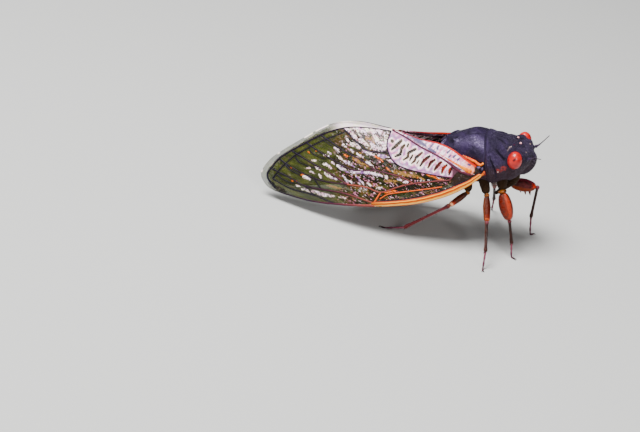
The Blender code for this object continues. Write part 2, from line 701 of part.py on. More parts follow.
def rooted(wing, knob, side):
    """The wing with the knob that it hinges on, which reaches in to the side of the thorax."""
    outer, inner, radius = knob
    start, end = mirrored(outer, side), mirrored(inner, side)
    path = [start + (end - start) * t / 3 for t in range(4)]
    knob = limb(path, [(0, radius), (1, radius)])
    wing = combine(wing, [knob], "UNION")
    return combine(wing, [loft(grown(TRUNK, GAP))], "DIFFERENCE")


def add_wings(insect):
    """Both pairs of wings."""
    for name, side in (("left", 1), ("right", -1)):
        fore = wing_shape(FOREWING_OUTLINE, FOREWING_VEINS, 0.0, costal_edge, side)
        insect.add(f"forewing_{name}", rooted(fore, FOREWING_KNOB, side), WING)
        hind = wing_shape(HINDWING_OUTLINE, HINDWING_VEINS, HINDWING_DEPTH, plain_edge, side)
        insect.add(f"hindwing_{name}", rooted(hind, HINDWING_KNOB, side), WING)


def main():
    """Builds the insect in an empty scene."""
    for leftover in list(bpy.data.objects):
        bpy.data.objects.remove(leftover)
    insect = Assembly("periodical_cicada")
    add_head(insect)
    add_trunk(insect)
    for name, leg in LEGS.items():
        add_leg(insect, name, leg)
    add_wings(insect)


main()
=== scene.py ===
"""The looks of a life-size periodical cicada that stands with its wings folded like a roof.

Every shape is modelled in millimetres in the insect's own frame: x runs forward along the body,
y to its left and z up its back, with the origin in the middle of the thorax. STANCE then tips
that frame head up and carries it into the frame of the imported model, in metres.
"""

import logging
import math
from collections.abc import Callable, Sequence
from dataclasses import dataclass, field
from enum import Enum

import bmesh
import bpy
import numpy as np
from mathutils import Matrix, Vector, noise
from mathutils.bvhtree import BVHTree


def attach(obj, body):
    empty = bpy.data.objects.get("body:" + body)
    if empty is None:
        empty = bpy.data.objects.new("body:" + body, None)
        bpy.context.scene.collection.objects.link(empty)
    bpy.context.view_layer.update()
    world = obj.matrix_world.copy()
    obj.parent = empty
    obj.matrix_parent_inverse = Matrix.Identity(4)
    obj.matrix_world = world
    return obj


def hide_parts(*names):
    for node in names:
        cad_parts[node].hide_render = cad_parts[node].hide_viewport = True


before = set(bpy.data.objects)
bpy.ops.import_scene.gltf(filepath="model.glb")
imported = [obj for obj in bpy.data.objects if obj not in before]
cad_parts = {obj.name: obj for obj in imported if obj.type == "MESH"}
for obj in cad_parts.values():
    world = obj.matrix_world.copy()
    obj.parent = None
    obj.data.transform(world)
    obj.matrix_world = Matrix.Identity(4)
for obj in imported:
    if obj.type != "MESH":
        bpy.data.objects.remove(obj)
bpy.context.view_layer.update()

LOG = logging.getLogger("cicada")

Shape = bmesh.types.BMesh
Socket = bpy.types.NodeSocket
Curve = Callable[[np.ndarray], np.ndarray]
Knots = Sequence[tuple[float, float]]
Path = tuple[tuple[float, float], ...]  # x and z on the side view
Place = tuple[float, float, float]
Colour = tuple[float, float, float]
Stops = tuple[tuple[float, Colour], ...]  # of a colour ramp

MILLIMETRE = 0.001
PITCH = math.radians(13.5)  # head up
STANCE_SHIFT = Vector((12.0, 0.0, 13.8))  # from the ground's origin to the body's, in millimetres
TURN = Matrix.Rotation(-PITCH, 4, "Y")
STANCE = Matrix.Scale(MILLIMETRE, 4) @ Matrix.Translation(STANCE_SHIFT) @ TURN
NECK_X = 3.7
HEAD_TURN = math.radians(-5.0)
HEAD_ROLL = math.radians(1.8)
SQUARENESS = 2.3  # of the superellipse that every cross section of the body follows
BODY = "root"
TINY = 1e-12  # keeps a division from failing
WELD = 0.0005  # millimetres; points closer than this are merged
TUBE_WELD = 0.0004
FULL_FURROW = 0.11  # millimetres deep, where a furrow's shade is full
UP: Place = (0.0, 0.0, 1.0)


class Side(Enum):
    """The two sides of the insect, each with the sign of its y coordinate."""

    LEFT = 1
    RIGHT = -1

    @property
    def word(self) -> str:
        """The side's name as the model's nodes spell it."""
        return self.name.lower()


class Slot(Enum):
    """The material slots, which the legs' table names for each part."""

    CUTICLE = "black_cuticle"
    EYE = "eye_red"
    FEMUR = "rusty_leg"
    SHIN = "dark_leg"
    BELLY = "belly"
    WING = "wing"


# Curves and paths


def curve(knots: Knots) -> Curve:
    """A smooth curve through knots, which can be read at many places at once.

    Args:
        knots: (x, value) pairs with rising x.

    Returns:
        A function that gives the values at an array of x.
    """
    x, y = np.array(knots, float).T
    slope = np.empty(len(x))
    slope[1:-1] = (y[2:] - y[:-2]) / (x[2:] - x[:-2])
    slope[0] = (y[1] - y[0]) / (x[1] - x[0])
    slope[-1] = (y[-1] - y[-2]) / (x[-1] - x[-2])

    def read(places: np.ndarray) -> np.ndarray:
        """The values at some places, held at the ends."""
        at = np.clip(np.asarray(places, float), x[0], x[-1])
        i = np.clip(np.searchsorted(x, at, side="right") - 1, 0, len(x) - 2)
        span = x[i + 1] - x[i]
        t = (at - x[i]) / span
        start = y[i] * (2 * t**3 - 3 * t**2 + 1) + slope[i] * span * (t**3 - 2 * t**2 + t)
        return start + y[i + 1] * (3 * t**2 - 2 * t**3) + slope[i + 1] * span * (t**3 - t**2)

    return read


def smooth_path(points: Sequence[Sequence[float]], step: float) -> np.ndarray:
    """Points about one step apart on a Catmull-Rom curve through the given points.

    Args:
        points: Places in two or three dimensions.
        step: Distance between the new points.

    Returns:
        The new points, one a row.
    """
    given = np.array(points, float)
    ends = np.vstack([2 * given[0] - given[1], given, 2 * given[-1] - given[-2]])
    path = []
    for a, b, c, d in zip(ends, ends[1:], ends[2:], ends[3:]):
        pieces = max(1, round(float(np.linalg.norm(c - b)) / step))
        for k in range(pieces):
            t = k / pieces
            square = (2 * a - 5 * b + 4 * c - d) * t**2
            cube = (3 * b - a - 3 * c + d) * t**3
            path.append(0.5 * (2 * b + (c - a) * t + square + cube))
    path.append(given[-1])
    return np.array(path)


def lengths_along(path: np.ndarray) -> np.ndarray:
    """The distance of each point of a path from its start."""
    return np.concatenate([[0.0], np.cumsum(np.linalg.norm(np.diff(path, axis=0), axis=1))])


def read_between(wanted: np.ndarray, known: np.ndarray, rows: np.ndarray) -> np.ndarray:
    """Rows of numbers at some places, read between the places where they are known."""
    return np.stack([np.interp(wanted, known, column) for column in rows.T], axis=1)


def at_length(path: np.ndarray, wanted: np.ndarray) -> np.ndarray:
    """The points at some distances along a path."""
    return read_between(wanted, lengths_along(path), path)


def distance_to(places: np.ndarray, line: np.ndarray) -> np.ndarray:
    """How far each place is from a polyline, in two or three dimensions."""
    nearest = np.full(len(places), np.inf)
    for a, b in zip(line, line[1:]):
        run = b - a
        t = np.clip((places - a) @ run / max(run @ run, TINY), 0.0, 1.0)
        nearest = np.minimum(nearest, np.linalg.norm(places - a - t[:, None] * run, axis=1))
    return nearest


def inside(places: np.ndarray, outline: np.ndarray) -> np.ndarray:
    """Which flat places lie inside a closed outline."""
    hit = np.zeros(len(places), bool)
    x, z = places[:, 0], places[:, 1]
    for (x0, z0), (x1, z1) in zip(outline, np.roll(outline, -1, axis=0)):
        if z0 != z1:
            crosses = (z0 > z) != (z1 > z)
            hit ^= crosses & (x < (x1 - x0) * (z - z0) / (z1 - z0) + x0)
    return hit


def smooth_step(values: np.ndarray, low: float, high: float) -> np.ndarray:
    """Rises smoothly from 0 at low to 1 at high."""
    t = np.clip((values - low) / (high - low), 0.0, 1.0)
    return t * t * (3 - 2 * t)


def unit(vectors: np.ndarray) -> np.ndarray:
    """The vectors at length 1."""
    return vectors / np.maximum(np.linalg.norm(vectors, axis=-1, keepdims=True), TINY)


def mirrored(place: Sequence[float], side: Side) -> Place:
    """A place given for the left side, on the side that is wanted."""
    return (place[0], side.value * place[1], place[2])


def folded(places: np.ndarray) -> np.ndarray:
    """The places, with those of the right side moved over to the left."""
    return np.stack([places[:, 0], np.abs(places[:, 1]), places[:, 2]], axis=1)


def scaled(knots: Knots, size: float) -> tuple[tuple[float, float], ...]:
    """Knots whose values are given as shares of a size."""
    return tuple((where, size * share) for where, share in knots)


# Modelling


def places_of(shape: Shape) -> np.ndarray:
    """The places of a shape's points, one a row."""
    return np.array([v.co[:] for v in shape.verts])


def keep(shape: Shape, name: str, values: Sequence[float] | np.ndarray) -> None:
    """Keeps one value for each point of a shape, as a point attribute."""
    layer = shape.verts.layers.float.new(name)
    for vert, value in zip(shape.verts, values):
        vert[layer] = float(value)


def close(shape: Shape, weld: float = WELD) -> Shape:
    """Merges points closer than weld, which closes seams and poles, and turns the faces outwards."""
    bmesh.ops.remove_doubles(shape, verts=shape.verts, dist=weld)
    bmesh.ops.recalc_face_normals(shape, faces=shape.faces)
    return shape


def sheet(columns: int, rows: int, place: Callable[[np.ndarray, np.ndarray], np.ndarray]) -> Shape:
    """A grid whose points are moved to their places on a surface.

    Args:
        columns: Faces along u.
        rows: Faces along v.
        place: Gives the places for arrays of u and v, both from 0 to 1.

    Returns:
        The surface, open at its seams, with u and v kept as the point attributes along and around.
    """
    shape = bmesh.new()
    bmesh.ops.create_grid(shape, x_segments=columns, y_segments=rows, size=0.5)
    u, v = places_of(shape).T[:2] + 0.5
    for vert, co in zip(shape.verts, place(u, v)):
        vert.co = co
    keep(shape, "along", u)
    keep(shape, "around", np.abs(2.0 * v - 1.0))
    return shape


@dataclass(frozen=True)
class Station:
    """One cross section of a lofted body: where it is and how far it reaches."""

    x: float
    top: float
    bottom: float
    half_width: float


def profile(stations: Sequence[Station]) -> list[Curve]:
    """The curves of the top, the bottom and the half width through some cross sections."""
    ordered = sorted(stations, key=lambda s: s.x)
    return [curve([(s.x, getattr(s, size)) for s in ordered]) for size in ("top", "bottom", "half_width")]


def loft(stations: Sequence[Station], columns: int, sides: int, squareness: float = SQUARENESS) -> Shape:
    """A closed skin through oval cross sections; its seam runs along the belly.

    Args:
        stations: The cross sections, in any order.
        columns: Faces along the body.
        sides: Faces round it.
        squareness: Power of the superellipse that the upper half of a section follows.

    Returns:
        The skin, closed at both ends.
    """
    top, bottom, half = profile(stations)
    first, last = min(s.x for s in stations), max(s.x for s in stations)
    steps = columns + 2  # one more at each end, which closes it

    def place(u: np.ndarray, v: np.ndarray) -> np.ndarray:
        """The skin's place for u along the body and v round it."""
        x = first + (last - first) * (np.clip(u * steps - 1, 0, columns) / columns)
        open_end = np.where((u * steps < 0.5) | ((1 - u) * steps < 0.5), 0.0, 1.0)
        angle = math.tau * v - math.pi / 2
        c, s = np.cos(angle), np.sin(angle)
        power = np.where(s > 0, 2 / squareness, 2 / SQUARENESS)
        y = np.sign(c) * np.abs(c) ** power * half(x) * open_end
        middle, tall = (top(x) + bottom(x)) / 2, (top(x) - bottom(x)) / 2 * open_end
        return np.stack([x, y, middle + np.sign(s) * np.abs(s) ** power * tall], axis=1)

    return close(sheet(steps, sides, place))


def egg(centre: Sequence[float], radii: Sequence[float], tilt: float = 0.0, detail: int = 24) -> Shape:
    """A closed egg, tipped about the sideways axis."""
    shape = bmesh.new()
    bmesh.ops.create_uvsphere(shape, u_segments=detail * 2, v_segments=detail, radius=1.0)
    turn = Matrix.Rotation(tilt, 4, "Y") @ Matrix.Diagonal((*radii, 1.0))
    bmesh.ops.transform(shape, matrix=Matrix.Translation(centre) @ turn, verts=shape.verts)
    return shape


def tube(
    path: np.ndarray,
    radii: Knots,
    sides: int = 12,
    step: float = 0.2,
    flatness: float = 1.0,
    reference: Sequence[float] | None = None,
) -> Shape:
    """A closed tube with round ends.

    Args:
        path: Points of its middle line.
        radii: (share of the length, radius) knots.
        sides: Faces round it.
        step: Length of a face.
        flatness: Radius across the reference direction, as a share of the radius along it.
        reference: Direction that the first radius points in, or none to leave it to the path.

    Returns:
        The tube, with the point attributes along and around.
    """
    total = float(lengths_along(path)[-1])
    radius_at = curve(radii)
    start, end = (min(float(radius), total * 0.4) for radius in radius_at(np.array((0.0, 1.0))))
    rings = np.radians([0.0, 25.0, 50.0, 70.0])  # of a round end
    middle = np.linspace(start, total - end, max(2, round((total - start - end) / step) + 1))
    where = np.concatenate([start * (1 - np.cos(rings)), middle, total - end * (1 - np.cos(rings[::-1]))])
    scale = np.concatenate([np.sin(rings), np.ones(len(middle)), np.sin(rings[::-1])])
    points = at_length(path, where)
    fine = np.linspace(0, total, 200)
    forward = unit(np.gradient(at_length(path, fine), axis=0))
    forward = unit(read_between(where, fine, forward))
    first_axis = np.empty_like(points)
    held = np.array(reference if reference is not None else (0.31, 0.17, 0.93))
    for k, ahead in enumerate(forward):
        across = held - ahead * (held @ ahead)
        first_axis[k] = across / np.linalg.norm(across)
        if reference is None:
            held = first_axis[k]
    second_axis = flatness * np.cross(forward, first_axis)
    size = radius_at(where / total) * scale
    last = len(where) - 1

    def place(u: np.ndarray, v: np.ndarray) -> np.ndarray:
        """The tube's place for u along it and v round it."""
        k = np.rint(u * last).astype(int)
        angle = math.tau * v[:, None]
        across = np.cos(angle) * first_axis[k] + np.sin(angle) * second_axis[k]
        return points[k] + across * size[k][:, None]

    return close(sheet(last, sides, place), TUBE_WELD)


@dataclass(frozen=True)
class Relief:
    """A furrow or a ridge that follows a line on the cuticle, the same on both sides."""

    path: tuple[Place, ...]  # given on the left
    width: float
    height: float  # under zero for a furrow


def carve(shape: Shape, heights: Curve, reliefs: Sequence[Relief] = ()) -> None:
    """Raises and sinks a skin along its normals, and keeps how deep it is sunk as furrow, which the cuticle's
    finish paints as shade.

    Args:
        shape: The skin, changed in place.
        heights: Gives a height for each place of an array.
        reliefs: Furrows and ridges besides.
    """
    shape.normal_update()
    places = places_of(shape)
    height = np.zeros(len(places))
    for relief in reliefs:
        away = distance_to(folded(places), smooth_path(relief.path, 0.15))
        height += relief.height * np.exp(-((away / relief.width) ** 2))
    height += heights(places)
    for vert, rise in zip(shape.verts, height):
        vert.co += vert.normal * float(rise)
    keep(shape, "furrow", np.clip(-height / FULL_FURROW, 0.0, 1.0))


def wrinkled(places: np.ndarray, waves: float) -> np.ndarray:
    """Soft uneven heights between -1 and 1, with so many waves for each millimetre."""
    return np.array([noise.noise(Vector(place) * waves) for place in places])


@dataclass(frozen=True)
class Mark:
    """A soft mark on a skin that follows a path, the same on both sides."""

    path: tuple[Place, ...]  # given on the left
    radius: float


def mark(shape: Shape, name: str, marks: Sequence[Mark]) -> None:
    """Keeps soft marks as a point attribute: 1 in the middle, 0.4 at the radius, 0 further out.

    Args:
        shape: The skin.
        name: The attribute's name.
        marks: The marks.
    """
    places = folded(places_of(shape))
    near = np.full(len(places), np.inf)
    for each in marks:
        line = np.array(each.path, float)
        near = np.minimum(near, distance_to(places, np.vstack([line, line[-1:] + 0.001])) / each.radius)
    keep(shape, name, np.clip(1.0 - 0.6 * near, 0.0, 1.0))


def join(shapes: Sequence[Shape], *values: str) -> Shape:
    """Puts shapes together.

    Args:
        shapes: The shapes, which are freed.
        *values: The point attributes that are kept besides along and around.

    Returns:
        All of them as one shape.
    """
    whole = bmesh.new()
    for name in ("along", "around", *values):
        whole.verts.layers.float.new(name)
    for shape in shapes:
        mesh = bpy.data.meshes.new("part")
        shape.to_mesh(mesh)
        shape.free()
        whole.from_mesh(mesh)
        bpy.data.meshes.remove(mesh)
    return whole


def as_object(name: str, shape: Shape) -> bpy.types.Object:
    """A new object in the scene that holds a shape, which is freed."""
    mesh = bpy.data.meshes.new(name)
    shape.to_mesh(mesh)
    shape.free()
    holder = bpy.data.objects.new(name, mesh)
    bpy.context.scene.collection.objects.link(holder)
    return holder


def fused(shapes: Sequence[Shape], voxel: float) -> Shape:
    """Overlapping closed shapes as one smooth skin.

    Args:
        shapes: The shapes, which are freed.
        voxel: Size of the new faces.

    Returns:
        One closed skin.
    """
    holder = as_object("fused", join(shapes))
    remesh = holder.modifiers.new("skin", "REMESH")
    remesh.mode = "VOXEL"
    remesh.voxel_size = voxel
    graph = bpy.context.evaluated_depsgraph_get()
    skin = bpy.data.meshes.new_from_object(holder.evaluated_get(graph))
    shape = bmesh.new()
    shape.from_mesh(skin)
    rough = holder.data
    bpy.data.objects.remove(holder)
    for mesh in (rough, skin):
        bpy.data.meshes.remove(mesh)
    return shape


def turn_head(shape: Shape) -> Shape:
    """Turns a shape of the head about the neck."""
    neck = Matrix.Translation((NECK_X, 0.0, 0.0))
    turn = Matrix.Rotation(HEAD_TURN, 4, "Z") @ Matrix.Rotation(HEAD_ROLL, 4, "X")
    bmesh.ops.transform(shape, matrix=neck @ turn @ neck.inverted(), verts=shape.verts)
    return shape


def set_piece(
    name: str,
    shape: Shape,
    material: bpy.types.Material,
    stands_for: Sequence[str] = (),
) -> bpy.types.Object:
    """Turns a shape in millimetres into a finished piece of the insect.

    Args:
        name: The piece's name.
        shape: Its shape in the insect's frame, which is freed.
        material: Its finish.
        stands_for: The model's nodes that it replaces.

    Returns:
        The piece, in place.
    """
    bmesh.ops.transform(shape, matrix=STANCE, verts=shape.verts)
    piece = as_object(name, shape)
    piece.data.shade_smooth()
    piece.data.materials.append(material)
    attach(piece, BODY)
    if stands_for:
        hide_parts(*stands_for)
    LOG.info("%s: %d faces", name, len(piece.data.polygons))
    return piece


# Finishes


Input = Socket | float | tuple


class Recipe:
    """The shader nodes of one material, with a short call for each kind that the finishes use."""

    def __init__(self, name: str) -> None:
        """Starts a material whose patterns are laid out in the insect's millimetres."""
        self.material = bpy.data.materials.new(name)
        self.material.use_nodes = True
        self.tree = self.material.node_tree
        self.shader = self.tree.nodes["Principled BSDF"]
        coordinates = self.tree.nodes.new("ShaderNodeTexCoord")
        mapping = self.tree.nodes.new("ShaderNodeMapping")
        self.tree.links.new(coordinates.outputs["Object"], mapping.inputs["Vector"])
        mapping.inputs["Scale"].default_value = (1 / MILLIMETRE,) * 3
        mapping.inputs["Rotation"].default_value = (0.0, PITCH, 0.0)
        mapping.inputs["Location"].default_value = -(TURN.inverted() @ STANCE_SHIFT)
        self.place = mapping.outputs["Vector"]

    def node(self, kind: str, inputs: dict[str | int, Input], **settings: object) -> bpy.types.Node:
        """Adds a node.

        Args:
            kind: The node's type.
            inputs: What its sockets hold or are linked to.
            **settings: The node's own properties.

        Returns:
            The node.
        """
        node = self.tree.nodes.new(kind)
        for key, value in settings.items():
            setattr(node, key, value)
        for key, value in inputs.items():
            if isinstance(value, Socket):
                self.tree.links.new(value, node.inputs[key])
            else:
                node.inputs[key].default_value = value
        return node

    def stretched(self, scale: Place, turn: Place = (0.0, 0.0, 0.0)) -> Socket:
        """The insect's coordinates turned by some degrees and then scaled."""
        angles = tuple(math.radians(a) for a in turn)
        turned = self.node("ShaderNodeMapping", {"Vector": self.place, "Rotation": angles})
        scaled = self.node("ShaderNodeMapping", {"Vector": turned.outputs[0], "Scale": scale})
        return scaled.outputs["Vector"]

    def noise(
        self, scale: float, detail: float = 3.0, at: Input | None = None, warp: float = 0.0
    ) -> Socket:
        """Soft random values from 0 to 1, with a scale in waves for each millimetre."""
        inputs = {"Vector": at or self.place, "Scale": scale, "Detail": detail, "Distortion": warp}
        return self.node("ShaderNodeTexNoise", inputs).outputs["Fac"]

    def cells(self, scale: float) -> Socket:
        """Distance to the nearest of many scattered points, so many for each millimetre."""
        return self.node("ShaderNodeTexVoronoi", {"Vector": self.place, "Scale": scale}).outputs["Distance"]

    def ramp(self, value: Input, stops: Stops) -> Socket:
        """Colours that follow a value through the stops of a ramp."""
        node = self.node("ShaderNodeValToRGB", {"Fac": value})
        elements = node.color_ramp.elements
        while len(elements) < len(stops):
            elements.new(1.0)
        for element, (position, colour) in zip(elements, stops):
            element.position = position
            element.color = (*colour, 1.0)
        return node.outputs["Color"]

    def step(self, value: Input, low: float, high: float, start: float = 0.0, end: float = 1.0) -> Input:
        """A smooth step of the value, from start at low to end at high."""
        inputs = {"Value": value, "From Min": low, "From Max": high, "To Min": start, "To Max": end}
        return self.node("ShaderNodeMapRange", inputs, interpolation_type="SMOOTHSTEP").outputs["Result"]

    def math(self, operation: str, *values: Input) -> Input:
        """The values taken together by one operation, from left to right."""
        whole = values[0]
        for value in values[1:]:
            whole = self.node("ShaderNodeMath", {0: whole, 1: value}, operation=operation).outputs["Value"]
        return whole

    def plus(self, *values: Input) -> Input:
        """The values' sum."""
        return self.math("ADD", *values)

    def times(self, *values: Input) -> Input:
        """The values' product."""
        return self.math("MULTIPLY", *values)

    def most(self, *values: Input) -> Input:
        """The largest of the values."""
        return self.math("MAXIMUM", *values)

    def mix(self, share: Input, a: Input, b: Input) -> Socket:
        """Two colours mixed by a share."""
        first, second = ((*c, 1.0) if isinstance(c, tuple) else c for c in (a, b))
        return self.node("ShaderNodeMix", {0: share, 6: first, 7: second}, data_type="RGBA").outputs[2]

    def attribute(self, name: str) -> Socket:
        """A value that the mesh keeps at its points."""
        return self.node("ShaderNodeAttribute", {}, attribute_name=name).outputs["Fac"]

    def axis(self, name: str) -> Socket:
        """One of the insect's coordinates, in millimetres."""
        return self.node("ShaderNodeSeparateXYZ", {0: self.place}).outputs[name]

    def bump(self, height: Input, depth: float) -> None:
        """Gives the surface a relief; a height of 1 stands depth millimetres proud."""
        node = self.node("ShaderNodeBump", {"Height": height, "Distance": depth * MILLIMETRE})
        self.tree.links.new(node.outputs["Normal"], self.shader.inputs["Normal"])

    def surface(self, **values: Input) -> None:
        """Sets or links sockets of the shader; an underscore stands for a space."""
        for key, value in values.items():
            socket = self.shader.inputs[key.replace("_", " ")]
            if isinstance(value, Socket):
                self.tree.links.new(value, socket)
            else:
                socket.default_value = value


@dataclass(frozen=True)
class Cuticle:
    """Black cuticle with soft patches of painted violet sheen, brown towards the bottom, painted shade in its
    furrows, and soft pale marks, some of them painted highlights, where the skin has them.
    """

    name: str = "violet_black_cuticle"
    deep: Colour = (0.003, 0.002, 0.006)
    # painted violet sheen, mixed in over the black in soft patches
    bloom: Colour = (0.015, 0.008, 0.029)
    # lighter specks at the pits: the pitted grain, partly lightened as painted glitter of the highlights
    pit_glint: Colour = (0.04, 0.024, 0.06)
    below: Colour = (0.02, 0.008, 0.002)
    gloss: Colour = (0.7, 0.55, 1.0)
    rust: Colour = (0.3, 0.022, 0.001)
    old_rust: Colour = (0.09, 0.01, 0.003)
    furrow_shade: Colour = (0.001, 0.0008, 0.0012)  # painted shade at the bottom of a furrow
    # pale cream marks, some of them painted highlights on crests and rims
    cream_and_highlight: Colour = (0.85, 0.6, 0.5)
    shine: float = 0.5
    leather_from: float = 0.7  # the pronotum and the head are wrinkled like leather, from this x on
    grain: float = 0.11

    def material(self) -> bpy.types.Material:
        """The finish as a material."""
        recipe = Recipe(self.name)
        pits, furrow, high = recipe.cells(8.0), recipe.attribute("furrow"), recipe.axis("Z")
        # painted violet sheen in soft patches over the black
        base = recipe.mix(recipe.step(recipe.noise(0.55, 4.0, warp=0.4), 0.38, 0.68), self.deep, self.bloom)
        # lighter specks at the pits, partly painted glitter of the highlights
        base = recipe.mix(recipe.step(pits, 0.3, 0.0, 0.0, 0.5), base, self.pit_glint)
        base = recipe.mix(recipe.step(high, 0.3, -1.2), base, self.below)
        ragged = recipe.plus(recipe.times(recipe.noise(1.8, 5.0, warp=0.8), 4.0), -1.0)
        rusty = recipe.step(recipe.times(recipe.attribute("rust"), ragged), 0.25, 0.5)
        patchy = recipe.step(recipe.noise(2.6, 4.0), 0.4, 0.6)
        base = recipe.mix(rusty, base, recipe.mix(patchy, self.rust, self.old_rust))
        # pale marks, partly real pale spots and partly painted highlights
        base = recipe.mix(recipe.step(recipe.attribute("cream_and_highlight"), 0.35, 0.6), base, self.cream_and_highlight)
        # painted shade that darkens the colour towards the bottom of each furrow
        base = recipe.mix(recipe.times(furrow, 0.95), base, self.furrow_shade)
        rough = recipe.step(recipe.noise(3.2, 4.0), 0.4, 0.6, 0.32, 0.6)
        rough = recipe.most(rough, furrow, recipe.step(high, -0.4, -2.0, 0.0, 0.75))
        leather = recipe.step(recipe.axis("X"), self.leather_from - 0.3, self.leather_from + 0.3, 0.15, 1.0)
        creases = recipe.times(recipe.noise(1.9, 7.0, warp=1.2), 4.0)
        fine = recipe.times(recipe.noise(12.0, 3.0), 0.25)
        recipe.bump(recipe.plus(recipe.times(recipe.plus(creases, pits), leather), fine), self.grain)
        tint = (*self.gloss, 1.0)
        recipe.surface(
            Base_Color=base,
            Roughness=rough,
            Specular_IOR_Level=self.shine,
            Specular_Tint=tint,
            Sheen_Weight=0.04,
            Sheen_Roughness=0.4,
            Sheen_Tint=tint,
        )
        return recipe.material


HEAD_CUTICLE = Cuticle(
    "black_head_cuticle",
    (0.003, 0.0018, 0.003),
    (0.009, 0.005, 0.014),
    (0.03, 0.018, 0.04),
    shine=0.45,
)
BROWN_CUTICLE = Cuticle(
    "brown_black_cuticle",
    (0.012, 0.005, 0.003),
    (0.045, 0.014, 0.007),
    (0.09, 0.02, 0.008),
    gloss=(0.9, 0.7, 0.6),
    shine=0.2,
    leather_from=-30.0,
)


@dataclass(frozen=True)
class EyeFinish:
    """Vermilion compound eye under a clear coat, with its small dark spot: the pseudopupil, which on a real
    eye moves with the viewer, painted in one fixed place.
    """

    name: str = "vermilion_eye"
    red: Colour = (0.56, 0.0035, 0.0004)
    deep: Colour = (0.26, 0.0008, 0.0002)
    spot: Colour = (0.03, 0.002, 0.004)

    def material(self) -> bpy.types.Material:
        """The finish as a material."""
        recipe = Recipe(self.name)
        facets = recipe.cells(11.0)
        base = recipe.mix(recipe.step(recipe.noise(1.1, 2.0), 0.4, 0.75), self.red, self.deep)
        base = recipe.mix(recipe.step(facets, 0.25, 0.6, 0.0, 0.35), base, self.deep)
        # painted pseudopupil, a dark spot that on a real eye moves with the viewer
        base = recipe.mix(recipe.attribute("pupil"), base, self.spot)
        recipe.bump(facets, 0.012)
        recipe.surface(
            Base_Color=base, Roughness=0.45, Specular_IOR_Level=0.3, Coat_Weight=0.35, Coat_Roughness=0.16
        )
        return recipe.material


@dataclass(frozen=True)
class StalkFinish:
    """A limb's cuticle, coloured by stops along its length and darker or lighter round it."""

    name: str
    stops: Stops
    blotch: Colour
    blotches: float = 0.5
    inner: Colour | None = None  # along the side that the joint bends to
    inner_from: float = 0.9  # where round the limb it starts, from 0 outside to 1 inside
    outer: Colour | None = None  # along the other one
    belt: Colour | None = None  # where the skin's belt attribute is 1
    shine: float = 0.28
    gloss: Colour = (1.0, 0.8, 0.75)

    def material(self) -> bpy.types.Material:
        """The finish as a material."""
        recipe = Recipe(self.name)
        base = recipe.ramp(recipe.attribute("along"), self.stops)
        spots = recipe.noise(2.6, 4.0, warp=0.6)
        base = recipe.mix(recipe.step(spots, 0.48, 0.6, 0.0, self.blotches), base, self.blotch)
        ragged = recipe.plus(recipe.attribute("around"), recipe.times(recipe.noise(1.8), 0.12))
        if self.inner is not None:
            base = recipe.mix(recipe.step(ragged, self.inner_from, self.inner_from + 0.05), base, self.inner)
        if self.outer is not None:
            base = recipe.mix(recipe.step(ragged, 0.2, 0.14), base, self.outer)
        if self.belt is not None:
            base = recipe.mix(recipe.attribute("belt"), base, self.belt)
        grains = recipe.plus(recipe.cells(8.0), recipe.times(spots, 3.0), recipe.noise(14.0, 3.0))
        recipe.bump(grains, 0.035)
        rough = recipe.step(spots, 0.3, 0.7, 0.24, 0.4)
        recipe.surface(
            Base_Color=base, Roughness=rough, Specular_IOR_Level=self.shine, Specular_Tint=(*self.gloss, 1.0)
        )
        return recipe.material


@dataclass(frozen=True)
class BandFinish:
    """A wing's strong edge: stripes that run along it, laid out from its lower edge to its upper."""

    name: str
    stripes: Stops
    blotch: Colour
    far: Colour  # towards the apex
    far_from: float  # x where that colour is full
    far_to: float

    def material(self) -> bpy.types.Material:
        """The finish as a material."""
        recipe = Recipe(self.name)
        wander = recipe.times(recipe.noise(0.9, 4.0), 0.14)
        base = recipe.ramp(recipe.plus(recipe.attribute("around"), wander, -0.07), self.stripes)
        along = recipe.stretched((0.4, 1.0, 2.5), (0.0, -12.0, 0.0))
        base = recipe.mix(recipe.step(recipe.noise(2.4, 4.0, along), 0.55, 0.7, 0.0, 0.4), base, self.blotch)
        away = recipe.step(recipe.axis("X"), self.far_to, self.far_from, 0.0, 0.85)
        base = recipe.mix(away, base, self.far)
        recipe.bump(recipe.noise(3.0, 3.0, along), 0.05)
        recipe.surface(Base_Color=base, Roughness=0.4, Specular_IOR_Level=0.12)
        return recipe.material


